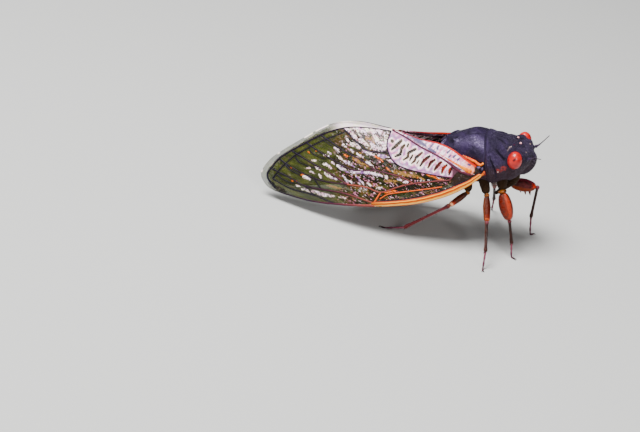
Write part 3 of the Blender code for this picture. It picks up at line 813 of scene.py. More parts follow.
@dataclass(frozen=True)
class MembraneFinish:
    """Clear wing membrane: olive and amber cells, brown patches of painted shade where the body and hindwing
    lie behind, and painted pinkish glints and glare.
    """

    name: str = "wing_membrane"
    olive: Colour = (0.06, 0.068, 0.011)
    moss: Colour = (0.024, 0.03, 0.006)
    amber: Colour = (0.12, 0.055, 0.008)
    shadow: Colour = (0.006, 0.0045, 0.003)
    # colours of the painted glints and glare
    glint: Colour = (0.95, 0.76, 0.86)
    ivory: Colour = (0.95, 0.86, 0.7)
    pink: Colour = (0.72, 0.22, 0.4)
    lilac: Colour = (0.2, 0.08, 0.25)
    tan: Colour = (0.26, 0.13, 0.03)
    orange: Colour = (0.85, 0.13, 0.0005)
    slit: Colour = (0.03, 0.013, 0.0002)
    maroon: Colour = (0.045, 0.003, 0.002)
    rust: Colour = (0.3, 0.016, 0.0003)
    slate: Colour = (0.07, 0.05, 0.13)
    flap_root: Colour = (0.9, 0.2, 0.06)
    wing_root: Colour = (0.02, 0.01, 0.008)
    clear: float = 0.7
    border_clear: float = 0.4
    solid: float = 0.95
    stroke_edge: float = 0.55  # where a painted stroke ends

    def painted(self, recipe: Recipe, name: str, soft: float = 0.16, ragged: float = 5.5) -> Input:
        """How much a kind of stroke covers, with ragged edges."""
        lines = recipe.stretched((1.0, 1.0, 2.2), (0.0, -30.0, 0.0))
        wobble = recipe.times(recipe.plus(recipe.noise(2.5, 6.0, lines, 1.0), -0.5), ragged)
        reach = recipe.times(recipe.attribute(name), recipe.plus(wobble, 1.0))
        return recipe.step(reach, self.stroke_edge - soft, self.stroke_edge + soft)

    def cells(self, recipe: Recipe) -> tuple[Input, Input]:
        """The clear cells between the veins.

        Args:
            recipe: The material that is being made.

        Returns:
            Their colour, and how solid they look.
        """
        near, shade = recipe.attribute("near_vein"), recipe.attribute("shade")
        grain = recipe.stretched((0.4, 0.8, 1.5), (0.0, -24.0, 0.0))
        fine = recipe.stretched((1.0, 1.0, 2.6), (0.0, -30.0, 0.0))
        base = recipe.mix(recipe.step(recipe.noise(0.8, 5.0, grain, 0.6), 0.38, 0.62), self.moss, self.olive)
        warm = recipe.times(recipe.step(recipe.noise(1.0, 5.0, grain, 0.9), 0.46, 0.58), shade)
        base = recipe.mix(warm, base, self.amber)
        # painted shade in brown patches where the body and hindwing lie behind
        shade_patches = recipe.step(recipe.noise(1.5, 5.0, grain, 0.8), 0.6, 0.46)
        gloom = recipe.times(shade_patches, recipe.times(shade, 0.85))
        halo = recipe.times(recipe.step(near, 0.32, 0.06), 0.7)
        # the darkest of the painted shade, the dark halo by the veins and the dark strokes
        dark = recipe.most(gloom, halo, self.painted(recipe, "dark", 0.3))
        base = recipe.mix(dark, base, self.shadow)
        # fine painted glints, streaked along the veins
        fine_glints = recipe.step(recipe.noise(1.9, 3.0, fine, 0.9), 0.59, 0.64)
        fine_glints = recipe.times(fine_glints, recipe.step(shade, 0.0, 1.0, 0.08, 0.85))
        fine_glints = recipe.times(fine_glints, recipe.step(near, 0.1, 0.2))
        kind = recipe.mix(recipe.step(recipe.noise(1.3), 0.42, 0.5), self.tan, self.pink)
        kind = recipe.mix(recipe.step(recipe.noise(1.1), 0.5, 0.6), kind, self.glint)
        base = recipe.mix(fine_glints, base, kind)
        # painted glare in strokes, broken by gaps
        gap = recipe.step(self.painted(recipe, "gap", 0.2, 3.0), 0.0, 1.0, 1.0, 0.1)
        gleam = recipe.times(self.painted(recipe, "gleam", 0.2, 8.0), gap)
        shine = recipe.mix(
            recipe.step(recipe.noise(0.9, 4.0, grain, 0.5), 0.44, 0.56), self.ivory, self.glint
        )
        shine = recipe.mix(
            recipe.step(recipe.noise(1.5, 4.0, fine, 0.8), 0.5, 0.6, 0.0, 0.7), shine, self.pink
        )
        shine = recipe.mix(recipe.step(recipe.noise(1.1, 4.0, fine, 0.8), 0.56, 0.66), shine, self.lilac)
        base = recipe.mix(self.painted(recipe, "tan", 0.2, 7.0), base, self.tan)
        # lilac-pink bands of painted glare under the veins
        lilac = self.painted(recipe, "lilac")
        glare = recipe.mix(recipe.step(recipe.noise(1.4, 3.0), 0.4, 0.6), self.lilac, self.glint)
        base = recipe.mix(lilac, base, glare)
        base = recipe.mix(gleam, base, shine)
        base = recipe.mix(self.painted(recipe, "orange"), base, self.orange)
        return base, recipe.most(gleam, lilac, dark)

    def rippled(self, recipe: Recipe) -> Input:
        """The colour of the rippled cell, with its row of dark slits and painted lilac shade on the pleats
        between them.
        """
        between = recipe.attribute("slit_apart")
        wander = recipe.times(recipe.plus(recipe.noise(1.8, 3.0), -0.5), 0.5)
        # painted lilac shade on the pleats between the slits
        ridge = recipe.step(recipe.plus(between, wander), 0.36, 0.46, 0.0, 0.8)
        ridge = recipe.times(ridge, recipe.step(between, 0.9, 0.6, 0.35, 1.0))
        base = recipe.mix(recipe.step(recipe.noise(1.4, 4.0), 0.42, 0.56), self.glint, self.pink)
        base = recipe.mix(recipe.step(between, 0.34, 0.2, 0.0, 0.7), base, self.ivory)
        base = recipe.mix(ridge, base, self.lilac)
        along = recipe.axis("X")
        base = recipe.mix(recipe.step(along, -5.6, -4.2, 0.0, 0.8), base, self.pink)
        cut = recipe.mix(recipe.step(along, -11.0, -9.0), self.slit, self.maroon)
        cut = recipe.mix(recipe.step(along, -6.5, -4.6), cut, self.rust)
        cut = recipe.mix(recipe.step(recipe.noise(1.6, 3.0), 0.48, 0.58), cut, self.shadow)
        return recipe.mix(self.painted(recipe, "slit", 0.14, 0.9), base, cut)

    def flap(self, recipe: Recipe) -> Input:
        """The colour of the clavus: pink and white with slate marks, warmer towards its root."""
        lines = recipe.stretched((0.6, 1.0, 1.6), (0.0, 40.0, 0.0))
        base = recipe.mix(recipe.step(recipe.noise(1.6, 5.0, lines, 0.8), 0.46, 0.56), self.pink, self.glint)
        bluish = recipe.step(recipe.axis("X"), -2.5, -9.5, 0.1, 0.9)
        streaks = recipe.step(recipe.noise(1.5, 5.0, lines, 0.8), 0.52, 0.58)
        base = recipe.mix(recipe.times(streaks, bluish), base, self.slate)
        base = recipe.mix(recipe.step(recipe.axis("X"), -3.4, -1.2, 0.0, 0.8), base, self.flap_root)
        return recipe.mix(self.painted(recipe, "slate", 0.2, 1.6), base, self.slate)

    def material(self) -> bpy.types.Material:
        """The finish as a material."""
        recipe = Recipe(self.name)
        cubital, clavus, border, basal, margin = (
            recipe.attribute(zone) for zone in ("cubital", "clavus", "border", "basal", "margin")
        )
        base, solid = self.cells(recipe)
        base = recipe.mix(cubital, base, self.rippled(recipe))
        base = recipe.mix(clavus, base, self.flap(recipe))
        # painted glare on the upper border, and painted glints in dashes along the far back edge
        rim = recipe.mix(recipe.step(recipe.noise(1.2, 3.0), 0.4, 0.6), self.ivory, self.glint)
        broken = recipe.step(recipe.noise(0.7, 2.0), 0.48, 0.54)
        edge_glints = recipe.times(recipe.step(margin, 0.45, 0.75), broken)
        glare = recipe.most(border, edge_glints)
        base = recipe.mix(glare, base, rim)
        base = recipe.mix(recipe.times(basal, 0.9), base, self.wing_root)
        for zone, share in ((cubital, 1.0), (clavus, 1.0), (basal, 0.95), (glare, 0.85)):
            solid = recipe.most(solid, recipe.times(zone, share))
        least = recipe.step(recipe.attribute("outside"), 0.0, 1.0, self.clear, self.border_clear)
        alpha = recipe.plus(least, recipe.times(recipe.math("SUBTRACT", self.solid, least), solid))
        grain = recipe.stretched((0.8, 1.0, 2.4), (0.0, -25.0, 0.0))
        recipe.bump(recipe.noise(1.6, 4.0, grain, 1.0), 0.07)
        recipe.surface(Base_Color=base, Alpha=alpha, Roughness=0.34, Specular_IOR_Level=0.14)
        return recipe.material


@dataclass(frozen=True)
class VeinFinish:
    """Wing veins: yellow-orange where they are warm, red, then violet-black where they are cold."""

    name: str = "wing_vein"
    stops: Stops = (
        (0.0, (0.005, 0.0035, 0.015)), (0.3, (0.016, 0.004, 0.018)), (0.5, (0.07, 0.012, 0.026)),
        (0.7, (0.24, 0.05, 0.035)), (0.85, (0.8, 0.1, 0.001)), (1.0, (1.0, 0.42, 0.01)),
    )

    def material(self) -> bpy.types.Material:
        """The finish as a material."""
        recipe = Recipe(self.name)
        wander = recipe.times(recipe.noise(1.5, 3.0), 0.12)
        base = recipe.ramp(recipe.plus(recipe.attribute("warmth"), -0.06, wander), self.stops)
        recipe.bump(recipe.noise(9.0, 3.0), 0.02)
        recipe.surface(Base_Color=base, Roughness=0.45, Specular_IOR_Level=0.12)
        return recipe.material


Finish = Cuticle | EyeFinish | StalkFinish | BandFinish | MembraneFinish | VeinFinish


# The insect


BLACK: Colour = (0.006, 0.004, 0.006)
FEMUR = StalkFinish(
    "rusty_femur",
    (
        (0.0, BLACK), (0.03, (0.05, 0.004, 0.002)), (0.08, (0.09, 0.003, 0.0006)),
        (0.6, (0.12, 0.006, 0.001)), (0.92, (0.22, 0.016, 0.002)), (1.0, (0.2, 0.01, 0.002)),
    ),
    (0.045, 0.003, 0.001),
    0.95,
    inner=(0.12, 0.004, 0.001),
    outer=(0.3, 0.02, 0.003),
    shine=0.5,
    gloss=(1.0, 0.6, 0.45),
)
MAROON_FEMUR = StalkFinish(
    "maroon_femur",
    (
        (0.0, BLACK), (0.1, BLACK), (0.2, (0.07, 0.009, 0.009)), (0.8, (0.11, 0.014, 0.017)),
        (0.92, (0.5, 0.02, 0.003)), (1.0, (0.6, 0.05, 0.004)),
    ),
    (0.018, 0.003, 0.004),
    0.7,
    inner=(0.16, 0.022, 0.004),
    outer=(0.12, 0.008, 0.02),
    inner_from=0.5,
    shine=0.16,
)
BROWN_FEMUR = StalkFinish(
    "brown_femur",
    (
        (0.0, BLACK), (0.08, BLACK), (0.14, (0.03, 0.003, 0.001)), (0.7, (0.06, 0.004, 0.001)),
        # the orange knee at 0.93 is partly a painted highlight
        (0.86, (0.16, 0.008, 0.001)), (0.93, (0.6, 0.1, 0.02)), (0.98, BLACK),
    ),
    (0.04, 0.003, 0.001),
    0.8,
    inner=(0.1, 0.018, 0.002),
    outer=(0.02, 0.006, 0.003),
    gloss=(1.0, 0.6, 0.45),
)
HIND_FEMUR = StalkFinish(
    "dark_femur",
    (
        (0.0, BLACK), (0.1, (0.05, 0.01, 0.002)), (0.7, (0.09, 0.01, 0.002)), (0.84, (0.4, 0.02, 0.002)),
        # the pale band at 0.92 is the orange knee lightened as a painted highlight
        (0.92, (1.0, 0.42, 0.2)), (0.98, BLACK),
    ),
    (0.02, 0.005, 0.002),
    0.8,
)
RING = StalkFinish(
    "amber_ring", ((0.0, (0.3, 0.09, 0.001)), (1.0, (0.16, 0.03, 0.002))), (0.03, 0.008, 0.002), 0.9
)
SHIN = StalkFinish(
    "maroon_shin",
    (
        (0.0, (0.24, 0.05, 0.07)), (0.08, (0.1, 0.02, 0.03)), (0.14, (0.012, 0.005, 0.004)),
        (0.8, (0.016, 0.005, 0.004)), (1.0, (0.04, 0.008, 0.006)),
    ),
    (0.05, 0.01, 0.006),
    0.4,
    inner=(0.08, 0.014, 0.003),
    inner_from=0.96,
    shine=0.2,
)
ROSY_SHIN = StalkFinish(
    "rosy_shin",
    (
        (0.0, (0.5, 0.14, 0.08)), (0.06, (0.04, 0.008, 0.02)), (0.16, (0.3, 0.05, 0.07)),
        (1.0, (0.2, 0.03, 0.04))
    ),
    (0.06, 0.01, 0.016),
    0.6,
    inner=(0.14, 0.012, 0.004),
    outer=(0.1, 0.01, 0.01),
    shine=0.2,
)
FOOT = StalkFinish(
    "violet_foot",
    ((0.0, (0.24, 0.05, 0.08)), (0.5, (0.1, 0.02, 0.045)), (0.8, (0.03, 0.008, 0.014)), (1.0, BLACK)),
    (0.2, 0.05, 0.08),
    0.5,
)
CLAW = StalkFinish("dark_claw", ((0.0, (0.03, 0.01, 0.01)), (1.0, BLACK)), (0.06, 0.02, 0.014), 0.4)
FEELER = StalkFinish(
    "black_feeler",
    (
        (0.0, (0.016, 0.01, 0.03)), (0.2, (0.03, 0.016, 0.05)), (0.34, (0.014, 0.008, 0.022)),
        (1.0, (0.01, 0.007, 0.014))
    ),
    (0.006, 0.004, 0.01),
    0.5,
)
OCELLUS = StalkFinish(
    "rosy_ocellus", ((0.0, (0.75, 0.3, 0.33)), (1.0, (0.05, 0.01, 0.03))), (0.9, 0.6, 0.6), 0.5
)
BELLY = StalkFinish(
    "belted_belly",
    ((0.0, (0.05, 0.012, 0.006)), (0.5, (0.016, 0.006, 0.006)), (1.0, BLACK)),
    (0.1, 0.024, 0.008),
    0.5,
    belt=(0.3, 0.06, 0.008),
)
FRONT_BAND = BandFinish(
    "front_band",
    (
        (0.0, (0.16, 0.02, 0.0005)), (0.1, (0.6, 0.07, 0.0003)), (0.22, (0.8, 0.18, 0.0002)),
        # the pale yellow stripe at 0.33 is lightened as a painted highlight along the band
        (0.33, (1.0, 0.7, 0.16)), (0.44, (0.85, 0.24, 0.0003)), (0.54, (0.36, 0.025, 0.0002)),
        (0.6, (0.36, 0.025, 0.0002)), (0.67, (1.0, 0.5, 0.03)), (0.74, (0.66, 0.09, 0.0002)),
        (0.82, (0.3, 0.02, 0.0005)), (0.9, (0.01, 0.004, 0.004)),
    ),
    (0.9, 0.15, 0.0005),
    (0.2, 0.022, 0.002),
    -18.0,
    -14.0,
)
BACK_BAND = BandFinish(
    "back_band",
    (
        (0.0, (0.3, 0.02, 0.01)), (0.2, (0.95, 0.2, 0.03)), (0.4, (0.9, 0.06, 0.004)),
        (0.6, (0.6, 0.012, 0.002)), (0.85, (0.25, 0.006, 0.003)), (1.0, (0.03, 0.003, 0.006)),
    ),
    (0.5, 0.012, 0.004),
    (0.14, 0.016, 0.03),
    -10.5,
    -5.5,
)
HINGE = StalkFinish(
    "amber_hinge", ((0.0, (0.8, 0.2, 0.0005)), (1.0, (0.5, 0.03, 0.0003))), (0.2, 0.02, 0.001), 0.6
)
CORD = StalkFinish(
    "orange_cord",
    ((0.0, (0.16, 0.01, 0.002)), (0.3, (0.6, 0.03, 0.0003)), (1.0, (0.75, 0.13, 0.0005))),
    (1.0, 0.4, 0.03),
    0.6,
)
CLAVAL_EDGE = StalkFinish(
    "amber_edge",
    (
        (0.0, (0.3, 0.02, 0.02)), (0.25, (0.7, 0.08, 0.01)), (0.5, (0.85, 0.17, 0.0005)),
        (1.0, (0.85, 0.32, 0.001))
    ),
    (0.7, 0.06, 0.0005),
    0.8,
)
FOLD = StalkFinish(
    "violet_fold", ((0.0, (0.03, 0.014, 0.06)), (1.0, (0.1, 0.08, 0.16))), (0.012, 0.006, 0.02), 0.8
)


@dataclass
class Palette:
    """Every finish of the insect, made once."""

    made: dict[str, bpy.types.Material] = field(default_factory=dict)

    def of(self, finish: Finish) -> bpy.types.Material:
        """The material of a finish."""
        if finish.name not in self.made:
            self.made[finish.name] = finish.material()
        return self.made[finish.name]


NECK_STREAK = Mark(((4.1, 2.2, 1.9), (3.95, 2.65, 1.7), (3.8, 3.05, 1.35)), 0.24)


@dataclass
class Trunk:
    """Pronotum, mesonotum with its crossed ridge and the underside, as one skin."""

    stations: tuple[Station, ...] = (
        Station(4.4, 2.2, -3.2, 3.3),
        Station(3.6, 2.62, -3.5, 3.85),
        Station(2.4, 3.06, -3.8, 4.35),
        Station(1.5, 3.22, -4.0, 4.5),
        Station(0.9, 3.4, -4.0, 4.7),
        Station(0.3, 3.65, -4.0, 4.4),
        Station(-1.2, 4.06, -4.05, 3.95),
        Station(-3.0, 3.75, -4.1, 3.6),
        Station(-4.8, 3.16, -4.2, 3.25),
        Station(-6.5, 2.1, -4.3, 3.0),
    )
    columns: int = 190
    sides: int = 180
    cross_front: tuple[float, float] = (-4.3, 1.75)
    cross_middle: tuple[float, float] = (-5.5, 0.0)
    cross_back: tuple[float, float] = (-6.6, 1.25)
    rust_marks: tuple[Mark, ...] = (
        Mark(((3.2, 3.9, -0.65), (2.7, 4.2, -0.76), (2.2, 4.3, -0.87)), 0.36),
        Mark(((0.35, 4.2, -1.2), (0.3, 4.2, -1.5)), 0.3),
    )
    # pale spots and streaks, some of them painted highlights on the collar and the back
    cream_and_highlight_marks: tuple[Mark, ...] = (
        Mark(((2.25, 4.3, -1.13),), 0.13),
        Mark(((-0.1, 2.8, 3.45),), 0.16),
        Mark(((0.9, 2.35, 3.65),), 0.12),
        Mark(((-3.74, 0.82, 3.68),), 0.08),
        Mark(((0.03, 3.82, 2.28),), 0.08),
        Mark(((-6.2, 0.45, 2.5), (-6.0, 0.6, 2.6)), 0.12),
        NECK_STREAK,
    )
    collar_front: float = 1.5
    collar_back: float = 0.5

    def height(self, x: float, y: float) -> float:
        """Height of the back over a place."""
        top, bottom, half = (float(read(np.array([x]))[0]) for read in profile(self.stations))
        share = min(abs(y) / half, 1.0)
        return (top + bottom) / 2 + (top - bottom) / 2 * (1.0 - share**SQUARENESS) ** (1 / SQUARENESS)

    def on_back(self, *places: tuple[float, float]) -> tuple[Place, ...]:
        """Places on the surface of the back over flat ones."""
        return tuple((x, y, self.height(x, y)) for x, y in places)

    def reliefs(self) -> list[Relief]:
        """The furrows and ridges of the back."""
        cross = self.on_back(self.cross_front, (-5.0, 0.8), self.cross_middle)
        tail = self.on_back(self.cross_middle, (-6.1, 0.6), self.cross_back)
        return [
            Relief(cross, 0.36, 0.26),
            Relief(tail, 0.36, 0.3),
            Relief(((1.9, 3.4, 2.5), (2.3, 3.7, 1.9), (2.75, 3.85, 1.3), (3.2, 3.85, 0.7)), 0.2, -0.34),
            Relief(self.on_back((3.5, 2.6), (2.9, 1.7), (2.2, 1.2)), 0.2, -0.3),
            Relief(self.on_back((3.9, 1.2), (3.0, 0.5), (2.0, 0.35)), 0.2, -0.2),
            Relief(
                self.on_back((0.4, 0.0), (0.4, 2.0), (0.42, 3.5)) + ((0.4, 4.3, 0.9), (0.3, 4.4, -0.3)),
                0.09, -0.12
            ),
            Relief(
                ((1.1, 3.6, 2.6), (1.1, 4.2, 2.0), (1.3, 4.47, 0.9), (1.6, 4.48, -0.1), (1.9, 4.4, -1.0)),
                0.13, -0.22
            ),
            Relief(self.on_back((0.3, 1.0), (-1.5, 1.3), (-2.9, 0.9)), 0.12, -0.06),
            Relief(self.on_back((0.2, 2.9), (-1.6, 2.7), (-3.2, 2.0)), 0.14, -0.04),
            Relief(((0.3, 4.2, 0.1), (-2.0, 3.9, 0.2), (-4.5, 3.3, 0.4)), 0.2, -0.2),
            Relief(((1.9, 4.4, -1.1), (1.9, 3.9, -2.8), (1.7, 2.2, -4.0)), 0.14, -0.14),
            Relief(((0.0, 4.4, -0.8), (-0.3, 3.9, -2.8), (-0.4, 2.0, -4.1)), 0.14, -0.14),
            Relief(((-2.6, 3.8, -0.8), (-2.9, 3.4, -2.9), (-3.0, 1.8, -4.2)), 0.14, -0.14),
            Relief(((2.4, 0.0, -3.9), (-5.0, 0.0, -4.3)), 0.2, -0.12),
        ]

    def collar(self, places: np.ndarray) -> np.ndarray:
        """The raised rim at the back of the pronotum, and fine wrinkles in front of it."""
        x = places[:, 0]
        rim = smooth_step(x, self.collar_back - 0.1, self.collar_back + 0.08)
        rim = rim * (1 - smooth_step(x, self.collar_front - 0.35, self.collar_front))
        front = smooth_step(x, self.collar_front - 0.2, self.collar_front + 0.4)
        under = 1 - smooth_step(places[:, 2], -0.6, 0.4)
        wrinkles = (0.03 * wrinkled(places, 1.3) + 0.03 * wrinkled(places, 3.0)) * np.maximum(front, under)
        return 0.05 * rim + wrinkles + 0.012 * wrinkled(places, 0.9)

    def build(self, palette: Palette) -> None:
        """Models and sets the thorax.

        Args:
            palette: The finishes.
        """
        skin = loft(self.stations, self.columns, self.sides)
        mark(skin, "rust", self.rust_marks)
        mark(skin, "cream_and_highlight", self.cream_and_highlight_marks)
        carve(skin, self.collar, self.reliefs())
        nodes = ("pronotum", "mesonotum", "thorax")
        set_piece("thorax_skin", skin, palette.of(Cuticle()), nodes)


@dataclass
class Abdomen:
    """The ringed abdomen."""

    stations: tuple[Station, ...] = (
        Station(-6.0, 1.6, -4.4, 2.85),
        Station(-8.0, 1.1, -4.55, 2.9),
        Station(-10.5, 0.9, -4.7, 3.0),
        Station(-14.0, 0.7, -4.6, 2.8),
        Station(-17.0, 0.3, -4.2, 2.3),
        Station(-19.4, -0.4, -3.5, 1.5),
        Station(-20.8, -1.0, -2.8, 0.8),
        Station(-21.4, -1.5, -2.2, 0.3),
    )
    columns: int = 150
    sides: int = 96
    rings: int = 8
    front: float = -6.4
    back: float = -21.4
    crease: float = 0.14
    crease_width: float = 0.09  # this and the next two are shares of a ring's length
    belt_width: float = 0.3
    belt_fade: float = 0.08
    belt_top: float = -1.2
    belt_deepens: float = 1.5  # millimetres from its top to where it is full

    def along_ring(self, x: np.ndarray) -> np.ndarray:
        """How far along its ring each x lies, from 0 to 1."""
        return (x - self.back) / (self.front - self.back) * self.rings % 1.0

    def ring_steps(self, places: np.ndarray) -> np.ndarray:
        """Sinks a crease behind each ring."""
        within = self.along_ring(places[:, 0])
        return -self.crease * np.exp(-((np.minimum(within, 1 - within) / self.crease_width) ** 2))

    def build(self, palette: Palette) -> None:
        """Models and sets the abdomen.

        Args:
            palette: The finishes.
        """
        skin = loft(self.stations, self.columns, self.sides)
        x, _, z = places_of(skin).T
        low = np.clip((self.belt_top - z) / self.belt_deepens, 0.0, 1.0)
        keep(skin, "belt", low * np.clip((self.belt_width - self.along_ring(x)) / self.belt_fade, 0.0, 1.0))
        carve(skin, self.ring_steps)
        set_piece("abdomen_skin", skin, palette.of(BELLY), ("abdomen",))


@dataclass
class Head:
    """Capsule with the swollen face, ocelli, eyes, antennae and beak."""

    stations: tuple[Station, ...] = (
        Station(2.9, 2.7, -3.6, 3.4),
        Station(3.6, 2.6, -3.75, 3.8),
        Station(4.6, 2.2, -3.3, 3.75),
        Station(5.6, 1.65, -2.5, 3.1),
        Station(6.4, 1.2, -1.8, 2.3),
        Station(7.0, 0.75, -1.2, 1.4),
        Station(7.3, 0.35, -0.6, 0.5),
    )
    face_centre: Place = (5.85, 0.0, -1.35)
    face_radii: Place = (1.5, 1.7, 2.2)
    face_tilt: float = math.radians(40.0)
    swellings: tuple[tuple[Place, Place], ...] = (  # brow, ledge before the eye, antenna's seat
        ((4.8, 2.2, 1.3), (1.05, 1.0, 0.8)),
        ((5.85, 2.2, 0.75), (0.9, 0.9, 0.7)),
        ((6.4, 2.0, 0.2), (0.62, 0.62, 0.52)),
    )
    eye_centre: Place = (5.1, 3.7, 0.61)
    eye_radii: Place = (1.08, 1.12, 1.34)
    eye_tilt: float = math.radians(12.0)
    beak: tuple[Place, ...] = ((4.5, 0.0, -3.0), (3.9, 0.0, -4.4), (2.9, 0.0, -5.2), (0.9, 0.0, -6.7))
    beak_radii: Knots = ((0, 0.75), (0.25, 0.64), (0.5, 0.5), (1, 0.26))
    feeler_root: Place = (6.9, 2.3, 0.15)
    feeler_bend: Place = (7.7, 2.6, 0.55)
    feeler_tips: dict[Side, Place] = field(
        default_factory=lambda: {Side.LEFT: (9.0, 3.7, 1.5), Side.RIGHT: (8.9, 2.9, 0.5)}
    )
    feeler_radii: Knots = ((0, 0.28), (0.1, 0.26), (0.16, 0.17), (0.3, 0.13), (0.36, 0.09), (1, 0.06))
    ocelli: tuple[tuple[float, float, float, float], ...] = (  # x, y, size and how dark
        (5.4, -0.35, 0.19, 0.0), (4.75, 1.15, 0.17, 0.0), (4.7, -1.6, 0.15, 1.0),
    )
    # pale marks on the head, some of them painted highlights on its swellings
    cream_and_highlight_marks: tuple[Mark, ...] = (
        NECK_STREAK,
        Mark(((6.35, 2.15, 0.35),), 0.2),
        Mark(((6.35, 1.55, 0.9),), 0.18),
    )
    squareness: float = 2.6
    columns: int = 60
    sides: int = 64
    voxel: float = 0.085
    smoothings: int = 7
    pupil: Place = (4.87, 4.85, 0.97)  # on the left eye; the painted pseudopupil, fixed in one place
    pupil_reach: Place = (0.12, 0.0, 0.1)  # to either end of it
    pupil_radius: float = 0.09
    pupil_fade: float = 0.1

    def face_height(self, places: np.ndarray) -> np.ndarray:
        """The grooves across the face and the rim round each eye."""
        offset = places - np.array(self.face_centre)
        c, s = math.cos(self.face_tilt), math.sin(self.face_tilt)
        ahead = c * offset[:, 0] - s * offset[:, 2]
        down = -(s * offset[:, 0] + c * offset[:, 2])
        aside = np.abs(offset[:, 1])
        rows = (0.5 + 0.5 * np.cos(math.tau * (down + 0.35 * aside) / 0.46)) ** 2
        place = smooth_step(aside, 0.3, 0.5) * (1 - smooth_step(aside, 1.2, 1.5))
        place *= smooth_step(ahead, 0.2, 0.8)
        grooves = -0.1 * rows * place * (1 - smooth_step(np.abs(down), 1.9, 2.4))
        near = np.linalg.norm((folded(places) - self.eye_centre) / np.array(self.eye_radii), axis=1)
        rims = 0.1 * np.exp(-(((near - 1.12) / 0.09) ** 2))
        knobs = np.zeros(len(places))
        for x, y, size, _ in self.ocelli:
            away = np.hypot(places[:, 0] - x, places[:, 1] - y) + 10.0 * (places[:, 2] < 0)
            knobs += 0.1 * np.exp(-((away / 0.4) ** 4)) - 0.15 * np.exp(-(((away - 3.0 * size) / 0.13) ** 2))
        folds = 0.06 * wrinkled(places, 1.1) + 0.035 * wrinkled(places, 2.6)
        folds *= 1 - smooth_step(ahead, 0.2, 0.8) * (1 - smooth_step(aside, 1.3, 1.6))
        return grooves + rims + knobs + folds

    def set_ocelli(self, skin: Shape) -> Shape:
        """The three ocelli, each a bead on the head's skin."""
        tree = BVHTree.FromBMesh(skin)
        beads = []
        for x, y, size, dark in self.ocelli:
            place, normal, _, _ = tree.ray_cast(Vector((x, y, 9.0)), Vector((0.0, 0.0, -1.0)))
            bead = egg(place + normal * size * 0.15, (size, size, size * 0.8), detail=12)
            keep(bead, "along", [dark] * len(bead.verts))
            beads.append(bead)
        return join(beads)

    def eye(self, side: Side) -> Shape:
        """One compound eye, with the dark spot of its painted pseudopupil as an attribute."""
        shape = turn_head(egg(mirrored(self.eye_centre, side), self.eye_radii, self.eye_tilt, detail=40))
        seen, reach = np.array(mirrored(self.pupil, side)), np.array(self.pupil_reach)
        away = distance_to(places_of(shape), np.vstack([seen - reach, seen + reach]))
        keep(shape, "pupil", 1.0 - np.clip((away - self.pupil_radius) / self.pupil_fade, 0.0, 1.0))
        return shape

    def build(self, palette: Palette) -> None:
        """Models and sets the head and all that it carries.

        Args:
            palette: The finishes.
        """
        capsule = loft(self.stations, self.columns, self.sides, self.squareness)
        face = egg(self.face_centre, self.face_radii, self.face_tilt, detail=30)
        lumps = [egg(mirrored(c, side), radii) for c, radii in self.swellings for side in Side]
        skin = fused([capsule, face, *lumps], self.voxel)
        axes = {f"use_axis_{axis}": True for axis in "xyz"}
        for _ in range(self.smoothings):
            bmesh.ops.smooth_vert(skin, verts=skin.verts, factor=0.5, **axes)
        carve(skin, self.face_height)
        mark(skin, "cream_and_highlight", self.cream_and_highlight_marks)
        beads = turn_head(self.set_ocelli(skin))
        set_piece("ocelli", beads, palette.of(OCELLUS))
        set_piece("head_skin", turn_head(skin), palette.of(HEAD_CUTICLE), ("head", "clypeus"))
        beak = tube(smooth_path(self.beak, 0.3), self.beak_radii, sides=20, step=0.12)
        set_piece("beak", turn_head(beak), palette.of(BROWN_CUTICLE), ("rostrum",))
        for side in Side:
            node = f"eye_{side.word}"
            set_piece(f"compound_{node}", self.eye(side), palette.of(EyeFinish()), (node,))
            path = [mirrored(p, side) for p in (self.feeler_root, self.feeler_bend, self.feeler_tips[side])]
            feeler = turn_head(tube(smooth_path(path, 0.2), self.feeler_radii, sides=14, step=0.06))
            node = f"antenna_{side.word}"
            set_piece(f"feeler_{side.word}", feeler, palette.of(FEELER), (node,))


@dataclass(frozen=True)
class Limb:
    """Joints of one leg from its root to the ankle, and where its foot stands."""

    root: Place
    trochanter: Place
    knee: Place
    ankle: Place
    foot: tuple[float, float]  # x and y; the ground gives the height
    coxa_radius: float
    femur_radius: float


LIMBS: dict[str, Limb] = {
    "front_right": Limb(
        (2.5, -2.0, -2.6), (2.5, -2.8, -4.75), (3.55, -4.2, -9.3), (3.7, -4.45, -12.7), (3.6, -4.7),
        0.8, 0.95
    ),
    "front_left": Limb(
        (2.5, 2.0, -2.6), (2.75, 2.6, -5.8), (7.05, 3.4, -6.95), (5.75, 4.0, -12.2), (5.45, 4.4),
        0.8, 0.95
    ),
    "middle_right": Limb(
        (-0.35, -2.3, -2.55), (0.35, -4.0, -4.85), (0.5, -6.7, -8.15), (0.5, -9.7, -11.6),
        (0.05, -10.5), 0.75, 0.6
    ),
    "middle_left": Limb(
        (-0.3, 2.4, -2.6), (0.35, 4.0, -4.85), (0.0, 6.7, -8.15), (-0.6, 9.4, -11.5), (-1.2, 10.3),
        0.75, 0.6
    ),
    "hind_right": Limb(
        (-2.9, -2.1, -2.6), (-2.4, -3.6, -4.6), (-5.1, -5.5, -6.0), (-12.4, -4.9, -9.9),
        (-15.6, -4.2), 0.75, 0.55
    ),
    "hind_left": Limb(
        (-2.9, 2.1, -2.6), (-2.4, 3.6, -4.6), (-5.0, 5.6, -6.0), (-12.2, 5.4, -9.8), (-15.3, 5.0),
        0.75, 0.55
    ),
}


